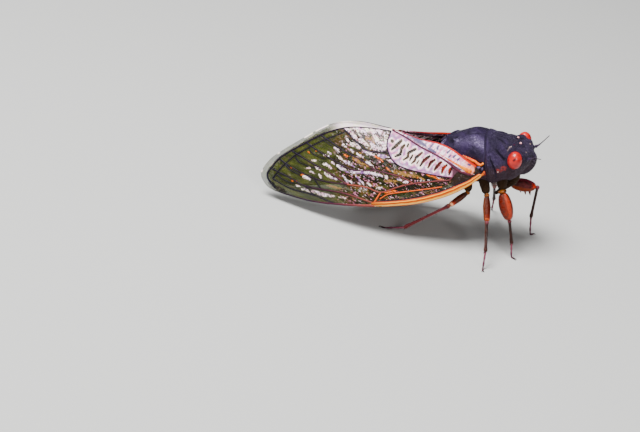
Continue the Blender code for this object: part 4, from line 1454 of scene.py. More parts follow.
@dataclass
class Legs:
    """The six legs."""

    solid_parts: tuple[str, ...] = ("coxa", "femur", "tibia", "tarsus")  # those with a node of their own
    sole_height: float = 0.16
    toe_length: float = 0.66
    toe_height: float = 0.15  # the least height of a foot's middle line
    knee: float = 0.46
    coxa_radii: Knots = ((0, 1.1), (0.5, 1), (0.86, 0.8), (1, 0.7))  # shares of the limb's own radius
    ring_radii: Knots = ((0, 0.7), (1, 0.68))
    femur_radii: Knots = ((0, 0.55), (0.06, 0.72), (0.3, 0.96), (0.5, 1), (0.75, 0.88))
    front_femur_radii: Knots = (
        (0, 0.6), (0.08, 0.74), (0.3, 1), (0.5, 1.08), (0.7, 0.98), (0.92, 0.66), (1, 0.56),
    )
    shin_radii: Knots = (
        (0, 0.34), (0.05, 0.36), (0.12, 0.24), (0.2, 0.22), (0.8, 0.23), (0.94, 0.3), (1, 0.25)
    )
    foot_radii: Knots = (
        (0, 0.2), (0.18, 0.14), (0.3, 0.17), (0.42, 0.12), (0.58, 0.16), (0.72, 0.11), (0.93, 0.13), (1, 0.1),
    )
    claw_radii: Knots = ((0, 0.06), (0.5, 0.05), (1, 0.02))
    thorn_radii: Knots = ((0, 1), (0.6, 0.55), (1, 0.15))
    teeth: Knots = ((0.42, 0.5), (0.58, 0.75), (0.74, 0.75))  # share of a front femur's length, and height
    end_spines: tuple[float, ...] = (-1.2, -0.4, 0.4, 1.2)  # angles round the tibia's end
    spines: Knots = ((0.55, 1), (0.75, -1))  # share of the tibia's length, and on which side of it
    hind_spines: Knots = ((0.3, 1), (0.45, -1), (0.6, 1), (0.75, -1))

    def on_ground(self, x: float, y: float, height: float) -> np.ndarray:
        """The place in the insect's frame that stands at a height over the ground."""
        z = (height - STANCE_SHIFT.z - x * math.sin(PITCH)) / math.cos(PITCH)
        return np.array((x, y, z))

    def thorn(self, root: np.ndarray, tip: np.ndarray, radius: float) -> Shape:
        """A pointed spine from its root to its tip."""
        return tube(np.array([root, (root + tip) / 2, tip]), scaled(self.thorn_radii, radius), 8, 0.1)

    def foot_parts(self, ankle: np.ndarray, limb: Limb) -> tuple[Shape, Shape]:
        """The jointed foot, which lies on the ground, and its two claws."""
        up = np.array((math.sin(PITCH), 0.0, math.cos(PITCH)))
        heel = self.on_ground(*limb.foot, self.sole_height)
        ahead = heel - ankle
        ahead = unit(ahead - up * (ahead @ up))
        toe = heel + ahead * self.toe_length
        aside = np.cross(up, ahead)
        path = smooth_path([ankle, heel, toe], 0.1)
        height = path @ up + STANCE_SHIFT.z
        path = path + up * np.maximum(0.0, self.toe_height - height)[:, None]
        claws = []
        for sign in (-1, 1):
            bend = toe + ahead * 0.16 + aside * sign * 0.13 + up * 0.02
            tip = toe + ahead * 0.26 + aside * sign * 0.2 - up * 0.1
            claws.append(tube(smooth_path([toe, bend, tip], 0.05), self.claw_radii, 8, 0.05))
        return tube(path, self.foot_radii, 16, 0.06), join(claws)

    def femur(self, limb: Limb, front: bool, inner: np.ndarray) -> Shape:
        """The femur and, on a front leg, the teeth under it.

        Args:
            limb: The leg's joints.
            front: Whether it is a front leg.
            inner: The direction that the knee bends to.

        Returns:
            One shape.
        """
        start, end, radius = np.array(limb.trochanter), np.array(limb.knee), limb.femur_radius
        ahead = unit(end - start)
        if not front:
            path = smooth_path([start + ahead * 0.3, end + ahead * 0.05], 0.3)
            radii = (*scaled(self.femur_radii, radius), (0.93, self.knee), (1, self.knee * 0.85))
            return tube(path, radii, 36, 0.08, 0.85, inner)
        path = smooth_path([start + ahead * 0.3, end - ahead * 0.2], 0.3)
        parts = [tube(path, scaled(self.front_femur_radii, radius), 36, 0.08, 1.0, inner)]
        for share, height in self.teeth:
            foot = start + (end - start) * share + inner * radius * 0.5
            tip = foot + unit(inner + ahead * 0.35) * (radius * 0.5 + height)
            parts.append(self.thorn(foot, tip, 0.3))
        return join(parts)

    def spurs(self, knee: np.ndarray, ankle: np.ndarray, inner: np.ndarray, hind: bool) -> Shape:
        """The spines round the tibia's end and along it.

        Args:
            knee: Where the tibia starts.
            ankle: Where it ends.
            inner: The direction that the knee bends to.
            hind: Whether it is a hind leg, which has more of them.

        Returns:
            One shape.
        """
        down = unit(ankle - knee)
        aside = unit(np.cross(down, inner))
        found = []
        for angle in self.end_spines:
            lean = inner * math.cos(angle) + aside * math.sin(angle)
            found.append(self.thorn(ankle - down * 0.15, ankle + down * 0.3 + lean * 0.36, 0.09))
        for share, sign in self.hind_spines if hind else self.spines:
            foot = knee + (ankle - knee) * share
            found.append(self.thorn(foot, foot + down * 0.25 + aside * sign * 0.45, 0.07))
        return join(found)

    def build_leg(self, name: str, limb: Limb, palette: Palette) -> None:
        """Models and sets the parts of one leg.

        Args:
            name: Which leg, as the model's nodes spell it.
            limb: Its joints.
            palette: The finishes.
        """
        front, hind = name.startswith("front"), name.startswith("hind")
        root, start, end, ankle = (np.array(p) for p in (limb.root, limb.trochanter, limb.knee, limb.ankle))
        ahead, down = unit(end - start), unit(ankle - end)
        inner = unit(np.cross(np.cross(end - start, ankle - end), ahead))
        coxa = tube(smooth_path([root, start], 0.3), scaled(self.coxa_radii, limb.coxa_radius), 24, 0.12)
        path = smooth_path([start - ahead * 0.15, start + ahead * 0.55], 0.2)
        ring = tube(path, scaled(self.ring_radii, limb.femur_radius), 24, 0.08)
        path = smooth_path([end - down * (0.3 if front else 0.1), ankle + down * 0.12], 0.3)
        shin = tube(path, self.shin_radii, 20, 0.1, 1.0, inner)
        foot, claws = self.foot_parts(ankle, limb)
        plain = HIND_FEMUR if hind else BROWN_FEMUR
        thigh = {"front_right": FEMUR, "front_left": MAROON_FEMUR}.get(name, plain)
        for part, shape, finish, slot in (
            ("coxa", coxa, BROWN_CUTICLE, Slot.CUTICLE),
            ("trochanter", ring, RING, Slot.FEMUR),
            ("femur", self.femur(limb, front, inner), thigh, Slot.FEMUR),
            ("tibia", shin, ROSY_SHIN if hind else SHIN, Slot.SHIN),
            ("spurs", self.spurs(end, ankle, inner, hind), CLAW, Slot.SHIN),
            ("tarsus", foot, FOOT, Slot.SHIN),
            ("claws", claws, CLAW, Slot.SHIN),
        ):
            node = f"{part}_{name}"
            if part in self.solid_parts:
                set_piece(f"{node}_skin", shape, palette.of(finish), (node,))
            else:
                set_piece(node, shape, palette.of(finish))

    def build(self, palette: Palette) -> None:
        """Models and sets all the legs."""
        for name, limb in LIMBS.items():
            self.build_leg(name, limb, palette)


@dataclass(frozen=True)
class Vein:
    """One vein on the wing's side view: (x, z) places, the radii and the warmth at its ends."""

    places: Path
    radii: tuple[float, float]
    warmth: tuple[float, float]


FOREWING_VEINS: dict[str, Vein] = {
    "ambient": Vein(
        (
            (-32.4, -4.45), (-33.8, -2.6), (-32.9, -1.2), (-31.3, 0.4), (-27.3, 2.6), (-23.8, 4.2),
            (-20.0, 4.9), (-14.0, 4.2),
        ),
        (0.13, 0.11), (0.0, 0.25),
    ),
    "claval": Vein(
        (
            (-13.9, 4.3), (-11.6, 3.45), (-9.6, 2.6), (-6.6, 1.5), (-5.1, 0.75), (-3.8, -0.25), (-2.9, -0.75),
            (-1.5, -1.25)
        ),
        (0.15, 0.2), (0.4, 0.52),
    ),
    "cubital": Vein(
        ((-14.0, 4.2), (-14.4, 2.4), (-12.6, 0.3), (-7.4, -0.9), (-4.4, -1.4)), (0.13, 0.14), (0.2, 0.45)
    ),
    "first_branch": Vein(
        ((-21.3, 4.8), (-19.0, 2.9), (-17.3, 1.9), (-14.4, 1.8)), (0.11, 0.11), (0.05, 0.25)
    ),
    "second_branch": Vein(
        (
            (-24.8, 3.8), (-21.5, 2.1), (-18.0, 0.6), (-16.2, -0.4), (-13.6, -0.9), (-11.8, -1.3),
            (-10.2, -2.1)
        ),
        (0.1, 0.11), (0.05, 0.66),
    ),
    "branch_link": Vein(((-17.3, 1.9), (-18.2, 1.2), (-18.0, 0.6)), (0.08, 0.08), (0.05, 0.1)),
    "third_branch": Vein(((-27.3, 2.7), (-24.6, 1.4), (-19.8, -0.5), (-16.2, -0.5)), (0.1, 0.1), (0.0, 0.5)),
    "fourth_branch": Vein(
        ((-29.7, 1.4), (-26.9, 0.2), (-22.5, -1.6), (-20.5, -2.6)), (0.1, 0.11), (0.0, 0.6)
    ),
    "fifth_branch": Vein(
        ((-31.7, 0.0), (-28.6, -1.4), (-24.7, -2.4), (-20.5, -2.6)), (0.1, 0.1), (0.0, 0.45)
    ),
    "sixth_branch": Vein(
        ((-33.2, -1.4), (-30.2, -2.4), (-27.2, -3.5), (-21.2, -3.9), (-16.5, -5.0)), (0.1, 0.12), (0.0, 0.72)
    ),
    "seventh_branch": Vein(
        ((-32.9, -2.9), (-29.8, -4.1), (-26.0, -4.7), (-22.8, -5.6)), (0.1, 0.1), (0.0, 0.2)
    ),
    "media": Vein(
        (
            (-20.5, -2.6), (-17.5, -2.8), (-15.2, -3.4), (-12.5, -2.6), (-10.2, -2.1), (-6.5, -1.8),
            (-5.0, -1.8), (-4.4, -1.4)
        ),
        (0.11, 0.12), (0.72, 0.55),
    ),
    "upper_cross": Vein(((-26.0, -2.1), (-24.8, -3.7)), (0.08, 0.08), (0.05, 0.1)),
    "lower_cross": Vein(((-27.4, -3.5), (-26.0, -4.7)), (0.08, 0.08), (0.0, 0.05)),
    "nodal": Vein(((-15.2, -3.4), (-16.5, -5.3)), (0.12, 0.15), (0.78, 0.84)),
    "inner_ambient": Vein(
        (
            (-20.4, 4.5), (-21.7, 4.1), (-24.7, 3.0), (-26.6, 2.1), (-28.8, 0.9), (-30.0, 0.0), (-31.6, -1.4),
            (-32.9, -2.9)
        ),
        (0.08, 0.11), (0.1, 0.0),
    ),
    "inner_second": Vein(((-24.3, 3.1), (-23.5, 2.7), (-22.6, 2.3)), (0.08, 0.05), (0.0, 0.1)),
    "inner_third": Vein(
        ((-26.7, 1.8), (-26.1, 1.2), (-25.2, 0.9), (-24.2, 0.7), (-23.2, 0.8)), (0.1, 0.05), (0.0, 0.1)
    ),
    "inner_fourth": Vein(
        ((-29.0, 0.5), (-28.4, -0.1), (-27.4, -0.4), (-26.5, -0.6), (-25.5, -0.7), (-24.7, -0.7)),
        (0.1, 0.05), (0.0, 0.1)
    ),
    "inner_fifth": Vein(
        ((-30.7, -0.7), (-30.0, -1.3), (-29.0, -1.7), (-28.1, -2.1)), (0.1, 0.06), (0.0, 0.1)
    ),
    "inner_sixth": Vein(
        ((-32.2, -2.2), (-31.2, -2.8), (-30.0, -3.2), (-28.9, -3.3)), (0.1, 0.06), (0.0, 0.1)
    ),
    "radial": Vein(
        ((-15.4, -4.4), (-14.2, -3.7), (-12.6, -3.4), (-9.9, -3.1), (-5.9, -2.7)), (0.1, 0.1), (0.8, 0.84)
    ),
}
HINDWING_VEINS: dict[str, Vein] = {
    "radius": Vein(((-4.6, -1.3), (-12.0, -2.9), (-21.3, -2.0)), (0.12, 0.08), (0.7, 0.3)),
    "media": Vein(((-4.6, -0.9), (-13.0, -1.3), (-21.8, -0.9)), (0.1, 0.07), (0.6, 0.2)),
    "cubitus": Vein(((-4.6, -0.7), (-12.0, 0.3), (-19.0, 1.2)), (0.1, 0.07), (0.6, 0.2)),
}


Stroke = tuple[float, Path]  # half its width, then its side-view places

WING_STROKES: dict[str, tuple[Stroke, ...]] = {
    # gleam: painted glare and glints of the crinkled membrane
    "gleam": (
        (0.42, ((-20.0, 5.0), (-18.4, 4.4), (-16.6, 4.1), (-15.5, 4.2))),
        (0.38, ((-16.4, 3.6), (-15.7, 3.0), (-14.8, 2.3))), (0.34, ((-15.0, 3.6), (-14.6, 2.6))),
        (0.26, ((-18.6, 3.3), (-17.3, 2.8), (-16.1, 2.3), (-15.2, 2.0))),
        (0.17, ((-20.0, 2.8), (-19.2, 2.6), (-18.6, 2.3))),
        (0.13, ((-17.9, 1.9), (-17.2, 1.7), (-16.3, 1.4))), (0.18, ((-19.9, 4.1), (-19.3, 3.5))),
        (0.09, ((-20.9, 3.7), (-20.4, 3.1))), (0.14, ((-21.1, 4.7), (-20.3, 4.5))),
        (0.11, ((-21.2, 2.7), (-20.7, 2.4))), (0.12, ((-22.6, 2.2), (-21.9, 1.9))),
        (0.1, ((-20.0, 2.1), (-19.6, 1.8))), (0.12, ((-19.0, 1.6), (-18.1, 1.1))),
        (0.13, ((-22.1, 1.2), (-21.4, 0.8))), (0.12, ((-23.2, 0.5), (-22.6, 0.1))),
        (0.14, ((-24.4, 0.0), (-23.7, -0.2), (-23.0, -0.6))), (0.12, ((-17.5, 0.6), (-16.7, 0.2))),
        (0.1, ((-25.7, -0.6), (-24.9, -0.9))), (0.1, ((-27.1, -0.9), (-26.6, -0.8))),
        (0.12, ((-26.5, -1.3), (-25.9, -1.4))), (0.12, ((-25.1, -1.6), (-24.7, -1.9))),
        (0.16, ((-24.1, -1.3), (-23.1, -1.8))), (0.15, ((-27.7, -2.1), (-26.6, -2.4))),
        (0.08, ((-26.3, 0.3), (-25.6, 0.3))), (0.09, ((-24.3, 1.2), (-23.5, 1.1))),
        (0.09, ((-23.7, 1.6), (-23.1, 1.4))), (0.09, ((-29.1, -3.5), (-28.3, -3.6))),
        (0.12, ((-28.1, -4.0), (-27.4, -4.0), (-26.5, -4.3))),
        (0.17, ((-26.2, -4.1), (-24.8, -4.4), (-23.4, -4.5), (-22.7, -4.5))),
        (0.12, ((-21.9, -4.6), (-20.8, -4.6))),
        (0.15, ((-12.9, 0.8), (-12.4, 0.3), (-11.3, 0.1), (-10.7, -0.2), (-10.0, -0.2))),
        (0.1, ((-13.9, 0.8), (-13.3, 0.6))), (0.09, ((-8.7, -0.7), (-8.5, -0.8))),
        (0.08, ((-10.1, -1.75), (-10.0, -1.75))), (0.08, ((-9.6, -1.75), (-9.5, -1.75))),
        (0.08, ((-9.1, -1.75), (-9.0, -1.75))), (0.1, ((-12.6, -1.5), (-12.0, -1.7))),
        (0.1, ((-11.7, -1.9), (-11.0, -1.9))), (0.12, ((-14.7, -1.2), (-14.2, -1.4))),
        (0.12, ((-15.8, -2.8), (-15.0, -2.8))), (0.1, ((-17.3, -2.2), (-16.8, -2.5))),
    ),
    # gap: olive streaks that break up the painted glare
    "gap": (
        (0.12, ((-19.9, 4.5), (-19.2, 4.0), (-18.8, 3.5))),
        (0.11, ((-18.9, 4.2), (-18.0, 3.7), (-17.4, 3.2))),
        (0.12, ((-18.2, 3.5), (-17.5, 3.0), (-16.9, 2.4))), (0.1, ((-17.6, 4.1), (-16.9, 3.6), (-16.4, 3.1))),
        (0.09, ((-16.9, 3.2), (-16.3, 2.8), (-15.8, 2.4))),
        (0.09, ((-16.4, 4.0), (-15.9, 3.6), (-15.5, 3.1))),
        (0.08, ((-15.4, 3.9), (-15.1, 3.3), (-14.9, 2.9))), (0.07, ((-15.6, 2.8), (-15.1, 2.3))),
        (0.1, ((-20.4, 5.0), (-19.8, 4.9))),
    ),
    # lilac: painted glare in lilac-pink bands
    "lilac": (
        (0.17, ((-22.1, -0.1), (-20.7, -0.7))),
        (0.19, ((-20.5, -0.8), (-18.8, -0.8), (-17.0, -0.8), (-16.2, -0.9), (-14.8, -1.2), (-14.2, -1.3))),
        (0.14, ((-23.1, -1.8), (-22.2, -2.0))), (0.13, ((-21.2, -1.4), (-20.5, -2.1))),
        (0.12, ((-20.2, -2.1), (-19.8, -2.3))), (0.14, ((-18.5, -1.9), (-17.8, -2.4))),
        (0.12, ((-21.1, 0.6), (-20.2, 0.2))), (0.1, ((-19.9, 0.1), (-19.4, -0.1))),
        (0.16, ((-15.7, 1.4), (-14.4, 1.2))), (0.1, ((-19.2, -1.3), (-18.7, -1.6))),
    ),
    "tan": (
        (0.17, ((-13.1, -0.6), (-11.3, -0.9), (-9.6, -1.2), (-8.5, -1.6))),
        (0.14, ((-14.5, -1.8), (-12.7, -1.8))), (0.18, ((-19.6, 1.0), (-18.3, 0.5), (-17.1, 0.0))),
        (0.16, ((-17.7, 3.6), (-16.9, 3.3), (-16.4, 2.8))), (0.1, ((-23.8, -3.0), (-21.0, -3.3))),
    ),
    "orange": (
        (0.11, ((-8.1, -0.2), (-6.5, -0.7), (-5.1, -1.35))), (0.09, ((-8.1, -0.9), (-6.9, -1.2))),
        (0.09, ((-7.1, -1.35), (-5.6, -1.65))), (0.09, ((-9.6, -1.3), (-9.5, -1.3))),
        (0.08, ((-16.3, 1.3), (-15.5, 1.0), (-14.9, 0.6))), (0.08, ((-14.4, -0.1), (-13.7, -0.5))),
        (0.09, ((-29.6, -2.9), (-28.9, -2.9))), (0.1, ((-28.0, -1.9), (-27.7, -1.8))),
        (0.1, ((-29.7, -1.0), (-29.5, -1.1))), (0.1, ((-26.9, 1.4), (-26.7, 1.3))),
        (0.08, ((-25.6, 1.6), (-25.4, 1.6))), (0.1, ((-21.0, 1.4), (-20.5, 1.2))),
        (0.12, ((-14.6, -3.4), (-12.8, -3.1))),
    ),
    # dark: painted shade in streaks where the hindwing and body lie behind the wing
    "dark": (
        (0.3, ((-19.3, 4.3), (-18.5, 3.8), (-17.4, 3.4))), (0.1, ((-16.6, 2.9), (-15.6, 2.3), (-14.8, 1.9))),
        (0.42, ((-20.4, 3.3), (-21.5, 2.1), (-22.2, 0.5), (-21.6, -0.9), (-20.8, -1.9))),
        (0.4, ((-20.6, -1.4), (-19.0, -1.6), (-16.8, -1.8), (-14.6, -2.2))),
        (0.4, ((-16.6, 0.9), (-14.7, 0.2), (-13.1, -0.1))),
        (0.5, ((-13.7, -2.4), (-9.2, -2.6), (-5.3, -2.3))),
        (0.35, ((-12.0, -1.3), (-8.0, -1.6), (-5.4, -1.7))),
        (0.4, ((-33.3, -3.5), (-32.4, -4.2), (-31.0, -4.7))),
    ),
    "slit": (
        (0.24, ((-13.8, 3.1), (-13.6, 3.0))), (0.24, ((-12.3, 3.1), (-13.1, 2.5), (-13.7, 2.1))),
        (0.22, ((-11.8, 2.6), (-12.2, 2.2), (-12.3, 1.6), (-13.1, 1.3))),
        (0.19, ((-11.2, 2.7), (-11.3, 2.5))),
        (0.20, ((-10.0, 2.2), (-11.1, 1.7), (-11.1, 1.3), (-11.8, 0.9))),
        (0.15, ((-10.4, 1.5), (-10.8, 0.9))), (0.19, ((-9.0, 1.8), (-9.9, 1.2), (-10.0, 0.9), (-10.5, 0.5))),
        (0.12, ((-9.4, 0.9), (-9.7, 0.5))), (0.22, ((-7.8, 1.4), (-8.6, 0.9), (-9.2, 0.2))),
        (0.22, ((-7.0, 1.0), (-7.6, 0.6), (-8.0, 0.0))), (0.24, ((-6.0, 0.7), (-6.6, 0.2), (-7.0, -0.3))),
        (0.24, ((-5.2, 0.3), (-5.7, -0.1), (-5.9, -0.7))), (0.26, ((-4.3, 0.0), (-4.7, -0.4), (-4.8, -0.9))),
    ),
    "slate": (
        (0.26, ((-10.6, 3.45), (-9.4, 3.0), (-8.5, 2.6))), (0.14, ((-7.4, 2.8), (-7.8, 2.45))),
        (0.13, ((-6.5, 2.65), (-6.7, 2.3))), (0.13, ((-4.7, 2.2), (-5.1, 1.9))),
        (0.12, ((-4.6, 1.6), (-4.9, 1.35))), (0.12, ((-3.9, 1.6), (-4.2, 1.35))),
        (0.12, ((-3.3, 1.2), (-3.6, 0.95))), (0.17, ((-8.1, 2.3), (-6.9, 1.9))),
        (0.16, ((-2.0, 0.35), (-1.7, 0.25))),
    ),
}

FRONT_EDGE: Path = (
    (-0.2, -1.7), (-2.4, -3.0), (-6.0, -4.3), (-10.5, -5.2), (-16.0, -5.6), (-21.0, -5.8), (-26.0, -5.85),
    (-29.5, -5.45), (-32.0, -5.0), (-33.8, -4.35), (-34.7, -3.1), (-34.85, -2.1),
)
BACK_EDGE: Path = (
    (-0.8, 0.05), (-2.4, 1.15), (-4.4, 2.35), (-6.6, 3.0), (-9.5, 3.4), (-14.0, 4.5), (-19.0, 5.7),
    (-23.4, 5.3), (-28.2, 3.0), (-32.4, 0.5), (-34.1, -1.0), (-34.85, -2.1),
)
HIND_FRONT_EDGE: Path = (
    (-4.6, -1.6), (-8.0, -3.1), (-13.0, -4.2), (-18.0, -4.1), (-21.2, -2.8), (-22.0, -1.0),
)
HIND_BACK_EDGE: Path = (
    (-4.6, -0.2), (-7.0, 0.9), (-11.0, 1.5), (-16.0, 1.7), (-20.4, 0.8), (-22.0, -1.0),
)


@dataclass(frozen=True)
class Vane:
    """The membrane of one wing, between its two edges on the side view."""

    front_edge: Path
    back_edge: Path
    columns: int
    rows: int
    depth: float  # how far in from the forewing's middle surface it lies
    ripple: float  # height of its crinkles


@dataclass(frozen=True)
class Band:
    """A strong flat edge or fold of the forewing along side-view places."""

    edge: Path
    inland: float  # how far it is set in from them
    radii: Knots
    flatness: float
    finish: BandFinish | StalkFinish


@dataclass(frozen=True)
class Rod:
    """A little plate, knob or cord that the wing turns on."""

    name: str
    path: tuple[Place, ...]  # given on the left
    radius: float
    finish: StalkFinish


@dataclass
class Wings:
    """Both pairs of wings, folded on one roof."""

    ridge: Knots = ((0, 6.2), (7, 4.7), (15, 4.5), (22, 5.4), (29, 3.4), (35, -1.0))
    eaves: Knots = ((0, -2.6), (7, -4.7), (15, -5.8), (22, -5.9), (29, -5.0), (35, -2.6))
    spread: Knots = ((0, 4.4), (7, 5.9), (15, 6.4), (22, 5.2), (29, 3.2), (35, 1.2))
    crown: Knots = ((0, 2.6), (7, 2.4), (15, 1.9), (22, 1.6), (29, 1.4), (35, 1.3))
    middle_gap: float = 0.5
    fore: Vane = Vane(FRONT_EDGE, BACK_EDGE, columns=400, rows=104, depth=0.0, ripple=0.045)
    hind: Vane = Vane(HIND_FRONT_EDGE, HIND_BACK_EDGE, columns=150, rows=50, depth=1.02, ripple=0.03)
    front_band: Band = Band(
        (*FRONT_EDGE[:5], (-16.8, -5.64)),
        0.42, ((0, 0.36), (0.3, 0.56), (0.65, 0.5), (1, 0.4)), 0.5, FRONT_BAND,
    )
    back_band: Band = Band(BACK_EDGE[:6], -0.08, ((0, 0.2), (0.4, 0.17), (1, 0.09)), 0.8, BACK_BAND)
    claval_fold: Band = Band(
        ((-5.8, 1.2), (-4.6, 0.55), (-3.7, -0.05), (-2.6, -0.6)),
        0.0, ((0, 0.07), (0.5, 0.15), (1, 0.13)), 0.6, FOLD,
    )
    claval_edge: Band = Band(
        ((-6.8, 1.9), (-5.1, 1.12), (-3.7, 0.38), (-2.8, -0.15), (-1.5, -0.85)),
        0.0, ((0, 0.07), (0.4, 0.17), (0.75, 0.3), (1, 0.48)), 0.5, CLAVAL_EDGE,
    )
    rods: tuple[Rod, ...] = (
        Rod("knob", ((-1.7, 4.9, -1.0), (-1.3, 4.75, -0.9), (-0.95, 4.35, -0.85)), 0.42, HINGE),
        Rod("knob", ((-0.35, 4.7, -1.65), (0.1, 4.65, -1.3), (0.3, 4.5, -0.9)), 0.18, HINGE),
        Rod(
            "cord",
            ((-3.0, 3.6, 1.25), (-2.0, 3.9, 0.85), (-1.2, 4.1, 0.5), (-0.35, 4.4, 0.05), (0.25, 4.5, 0.35)),
            0.24, CORD,
        ),
        Rod("plate", ((-1.1, 4.35, -0.55), (-0.6, 4.5, -0.4), (-0.25, 4.5, -0.2)), 0.26, FOLD),
        Rod("plate", ((-0.2, 4.55, -0.75), (0.1, 4.6, -0.3)), 0.2, FOLD),
    )
    rod_radii: Knots = ((0, 0.6), (0.5, 1), (1, 0.7))  # shares of a rod's own radius
    hinge: Place = (-0.5, 0.0, -1.0)
    droop: float = math.radians(2.2)
    tuck: float = 0.8
    tuck_x: float = -6.0
    tuck_reach: float = 7.5
    thickness: float = 0.1

    def roof(self, x: np.ndarray, z: np.ndarray) -> np.ndarray:
        """The right forewing's middle surface over side-view places."""
        back = -x
        ridge, eaves = curve(self.ridge)(back), curve(self.eaves)(back)
        fall = np.clip((ridge - z) / (ridge - eaves), 0.0, 1.0)
        out = curve(self.spread)(back) * (1.0 - (1.0 - fall) ** curve(self.crown)(back))
        return np.stack([x, -self.middle_gap - out, z], axis=1)

    def on_wing(self, side: Side, flat: np.ndarray, lift: np.ndarray | float = 0.0) -> np.ndarray:
        """Places on a wing over side-view ones.

        Args:
            side: Which side's wing.
            flat: (x, z) places, one a row.
            lift: How far out from the roof's middle surface.

        Returns:
            The places in the insect's frame.
        """
        x, z = flat[:, 0], flat[:, 1].copy()
        if side is Side.LEFT:
            near = np.maximum(0.0, 1.0 - np.abs(x - self.tuck_x) / self.tuck_reach)
            z -= self.tuck * near * np.maximum(0.0, (z - self.hinge[2]) / 4.0)
        step = 0.05
        ahead = self.roof(x + step, z) - self.roof(x - step, z)
        upward = self.roof(x, z + step) - self.roof(x, z - step)
        out = unit(np.cross(ahead, upward))
        places = self.roof(x, z) + out * np.reshape(lift, (-1, 1))
        if side is Side.LEFT:
            places[:, 1] *= -1
            c, s = math.cos(self.droop), math.sin(self.droop)
            x, y, z = (places - self.hinge).T
            places = np.stack([x * c - z * s, y, x * s + z * c], axis=1) + self.hinge
        return places

    def zones(self, flat: np.ndarray) -> dict[str, np.ndarray]:
        """The wing's regions and painted strokes at side-view places, each as a value for every place."""
        lines = {name: smooth_path(vein.places, 0.4) for name, vein in FOREWING_VEINS.items()}
        back, front = smooth_path(self.fore.back_edge, 0.3), smooth_path(self.fore.front_edge, 0.3)
        cubital = np.vstack([lines["claval"][:-6], lines["cubital"][::-1]])
        clavus = np.vstack([back[back[:, 0] > -14.2], lines["claval"]])
        inner = np.vstack([lines["ambient"], lines["claval"], front[front[:, 0] > -32.0]])
        high = np.interp(flat[:, 0], lines["claval"][:, 0], lines["claval"][:, 1])
        x, z = flat[:, 0], flat[:, 1]
        near = np.full(len(flat), 1.0)
        for line in lines.values():
            near = np.minimum(near, distance_to(flat, line))
        outside = (~inside(flat, inner) & (x < -13.0)).astype(float)
        far_edge = back[back[:, 0] < -19.0]
        found = {
            "cubital": inside(flat, cubital).astype(float),
            "clavus": inside(flat, clavus).astype(float),
            "outside": outside,
            # painted glare on the border outside the ambient vein, towards the top
            "border": outside * smooth_step(x, -24.0, -21.0),
            "basal": smooth_step(x, -4.6, -4.2) * ((z < high) | (x > -1.1)),
            "near_vein": near,
            # painted shade, full towards the root where the body lies behind the wing
            "shade": smooth_step(x, -24.0, -19.5),
            # where painted glints dash along the far back edge
            "margin": np.clip(1.0 - distance_to(flat, far_edge) / 0.4, 0.0, 1.0),
        }
        apart = np.full(len(flat), 1.0)
        for name, strokes in WING_STROKES.items():
            painted = np.zeros(len(flat))
            for half, path in strokes:
                line = smooth_path(path, 0.25)
                share = lengths_along(line) / lengths_along(line)[-1]
                for a, b, s in zip(line, line[1:], share):
                    away = distance_to(flat, np.stack([a, b]))
                    width = 2.5 * half * (0.55 + 0.45 * math.sin(math.pi * min(s + 0.15, 1.0)))
                    painted = np.maximum(painted, 1.0 - away / width)
                    if name == "slit":
                        apart = np.minimum(apart, away)
            found[name] = painted
        found["slit_apart"] = apart
        return found

    def membrane(self, side: Side, vane: Vane) -> Shape:
        """One wing's thin membrane between its two edges.

        Args:
            side: Which side's wing.
            vane: How it is laid out.

        Returns:
            The open sheet, with the wing's regions as point attributes.
        """
        front, back = smooth_path(vane.front_edge, 0.2), smooth_path(vane.back_edge, 0.2)
        kept: dict[str, np.ndarray] = {}

        def place(u: np.ndarray, v: np.ndarray) -> np.ndarray:
            """The membrane's place for u towards the apex and v towards the back."""
            low = at_length(front, u * lengths_along(front)[-1])
            high = at_length(back, u * lengths_along(back)[-1])
            flat = low + (high - low) * v[:, None]
            kept.update(self.zones(flat))
            x, z = flat[:, 0], flat[:, 1]
            crinkle = np.sin(5.1 * x + 2.3 * z + 2.0 * np.sin(1.7 * z))
            crinkle = crinkle + np.sin(2.9 * x - 6.3 * z + np.sin(2.1 * x))
            pleats = (1.0 - 2.0 * np.exp(-((kept["slit_apart"] / 0.22) ** 2))) * kept["cubital"]
            waves = 0.4 * crinkle * (1 - kept["cubital"]) + 1.3 * pleats
            return self.on_wing(side, flat, vane.ripple * waves * np.sin(math.pi * v) - vane.depth)

        shape = sheet(vane.columns, vane.rows, place)
        for name, values in kept.items():
            keep(shape, name, values)
        return close(shape)

    def net(self, side: Side, veins: Sequence[Vein], depth: float) -> Shape:
        """All the veins of one wing as tubes in its membrane.

        Args:
            side: Which side's wing.
            veins: The veins.
            depth: How far in from the forewing's middle surface they lie.

        Returns:
            One shape, with the veins' warmth as a point attribute.
        """
        tubes = []
        for vein in veins:
            path = self.on_wing(side, smooth_path(vein.places, 0.25), -depth)
            shape = tube(path, ((0, vein.radii[0]), (1, vein.radii[1])), 8, 0.3, reference=UP)
            layer = shape.verts.layers.float["along"]
            along = np.array([vert[layer] for vert in shape.verts])
            keep(shape, "warmth", vein.warmth[0] + (vein.warmth[1] - vein.warmth[0]) * along)
            tubes.append(shape)
        return join(tubes, "warmth")

    def edge_veins(self) -> list[Vein]:
        """The thin edges beyond the node and behind the clavus, and the line inside the front band."""
        front, back = np.array(self.fore.front_edge), np.array(self.fore.back_edge)
        kept = (front[:, 0] < -17.0) & (front[:, 0] > -33.0)
        far = ((-16.2, -5.45), *map(tuple, front[kept] + (0.0, 0.15)))
        inner = tuple((x, z + 1.02) for x, z in self.fore.front_edge[1:4]) + ((-15.6, -4.7),)
        far_back = tuple(map(tuple, back[(back[:, 0] < -13.5) & (back[:, 0] > -24.0)]))
        return [
            Vein(far, (0.22, 0.1), (0.72, 0.1)),
            Vein(inner, (0.07, 0.07), (0.1, 0.3)),
            Vein(far_back, (0.07, 0.04), (0.3, 0.12)),
        ]

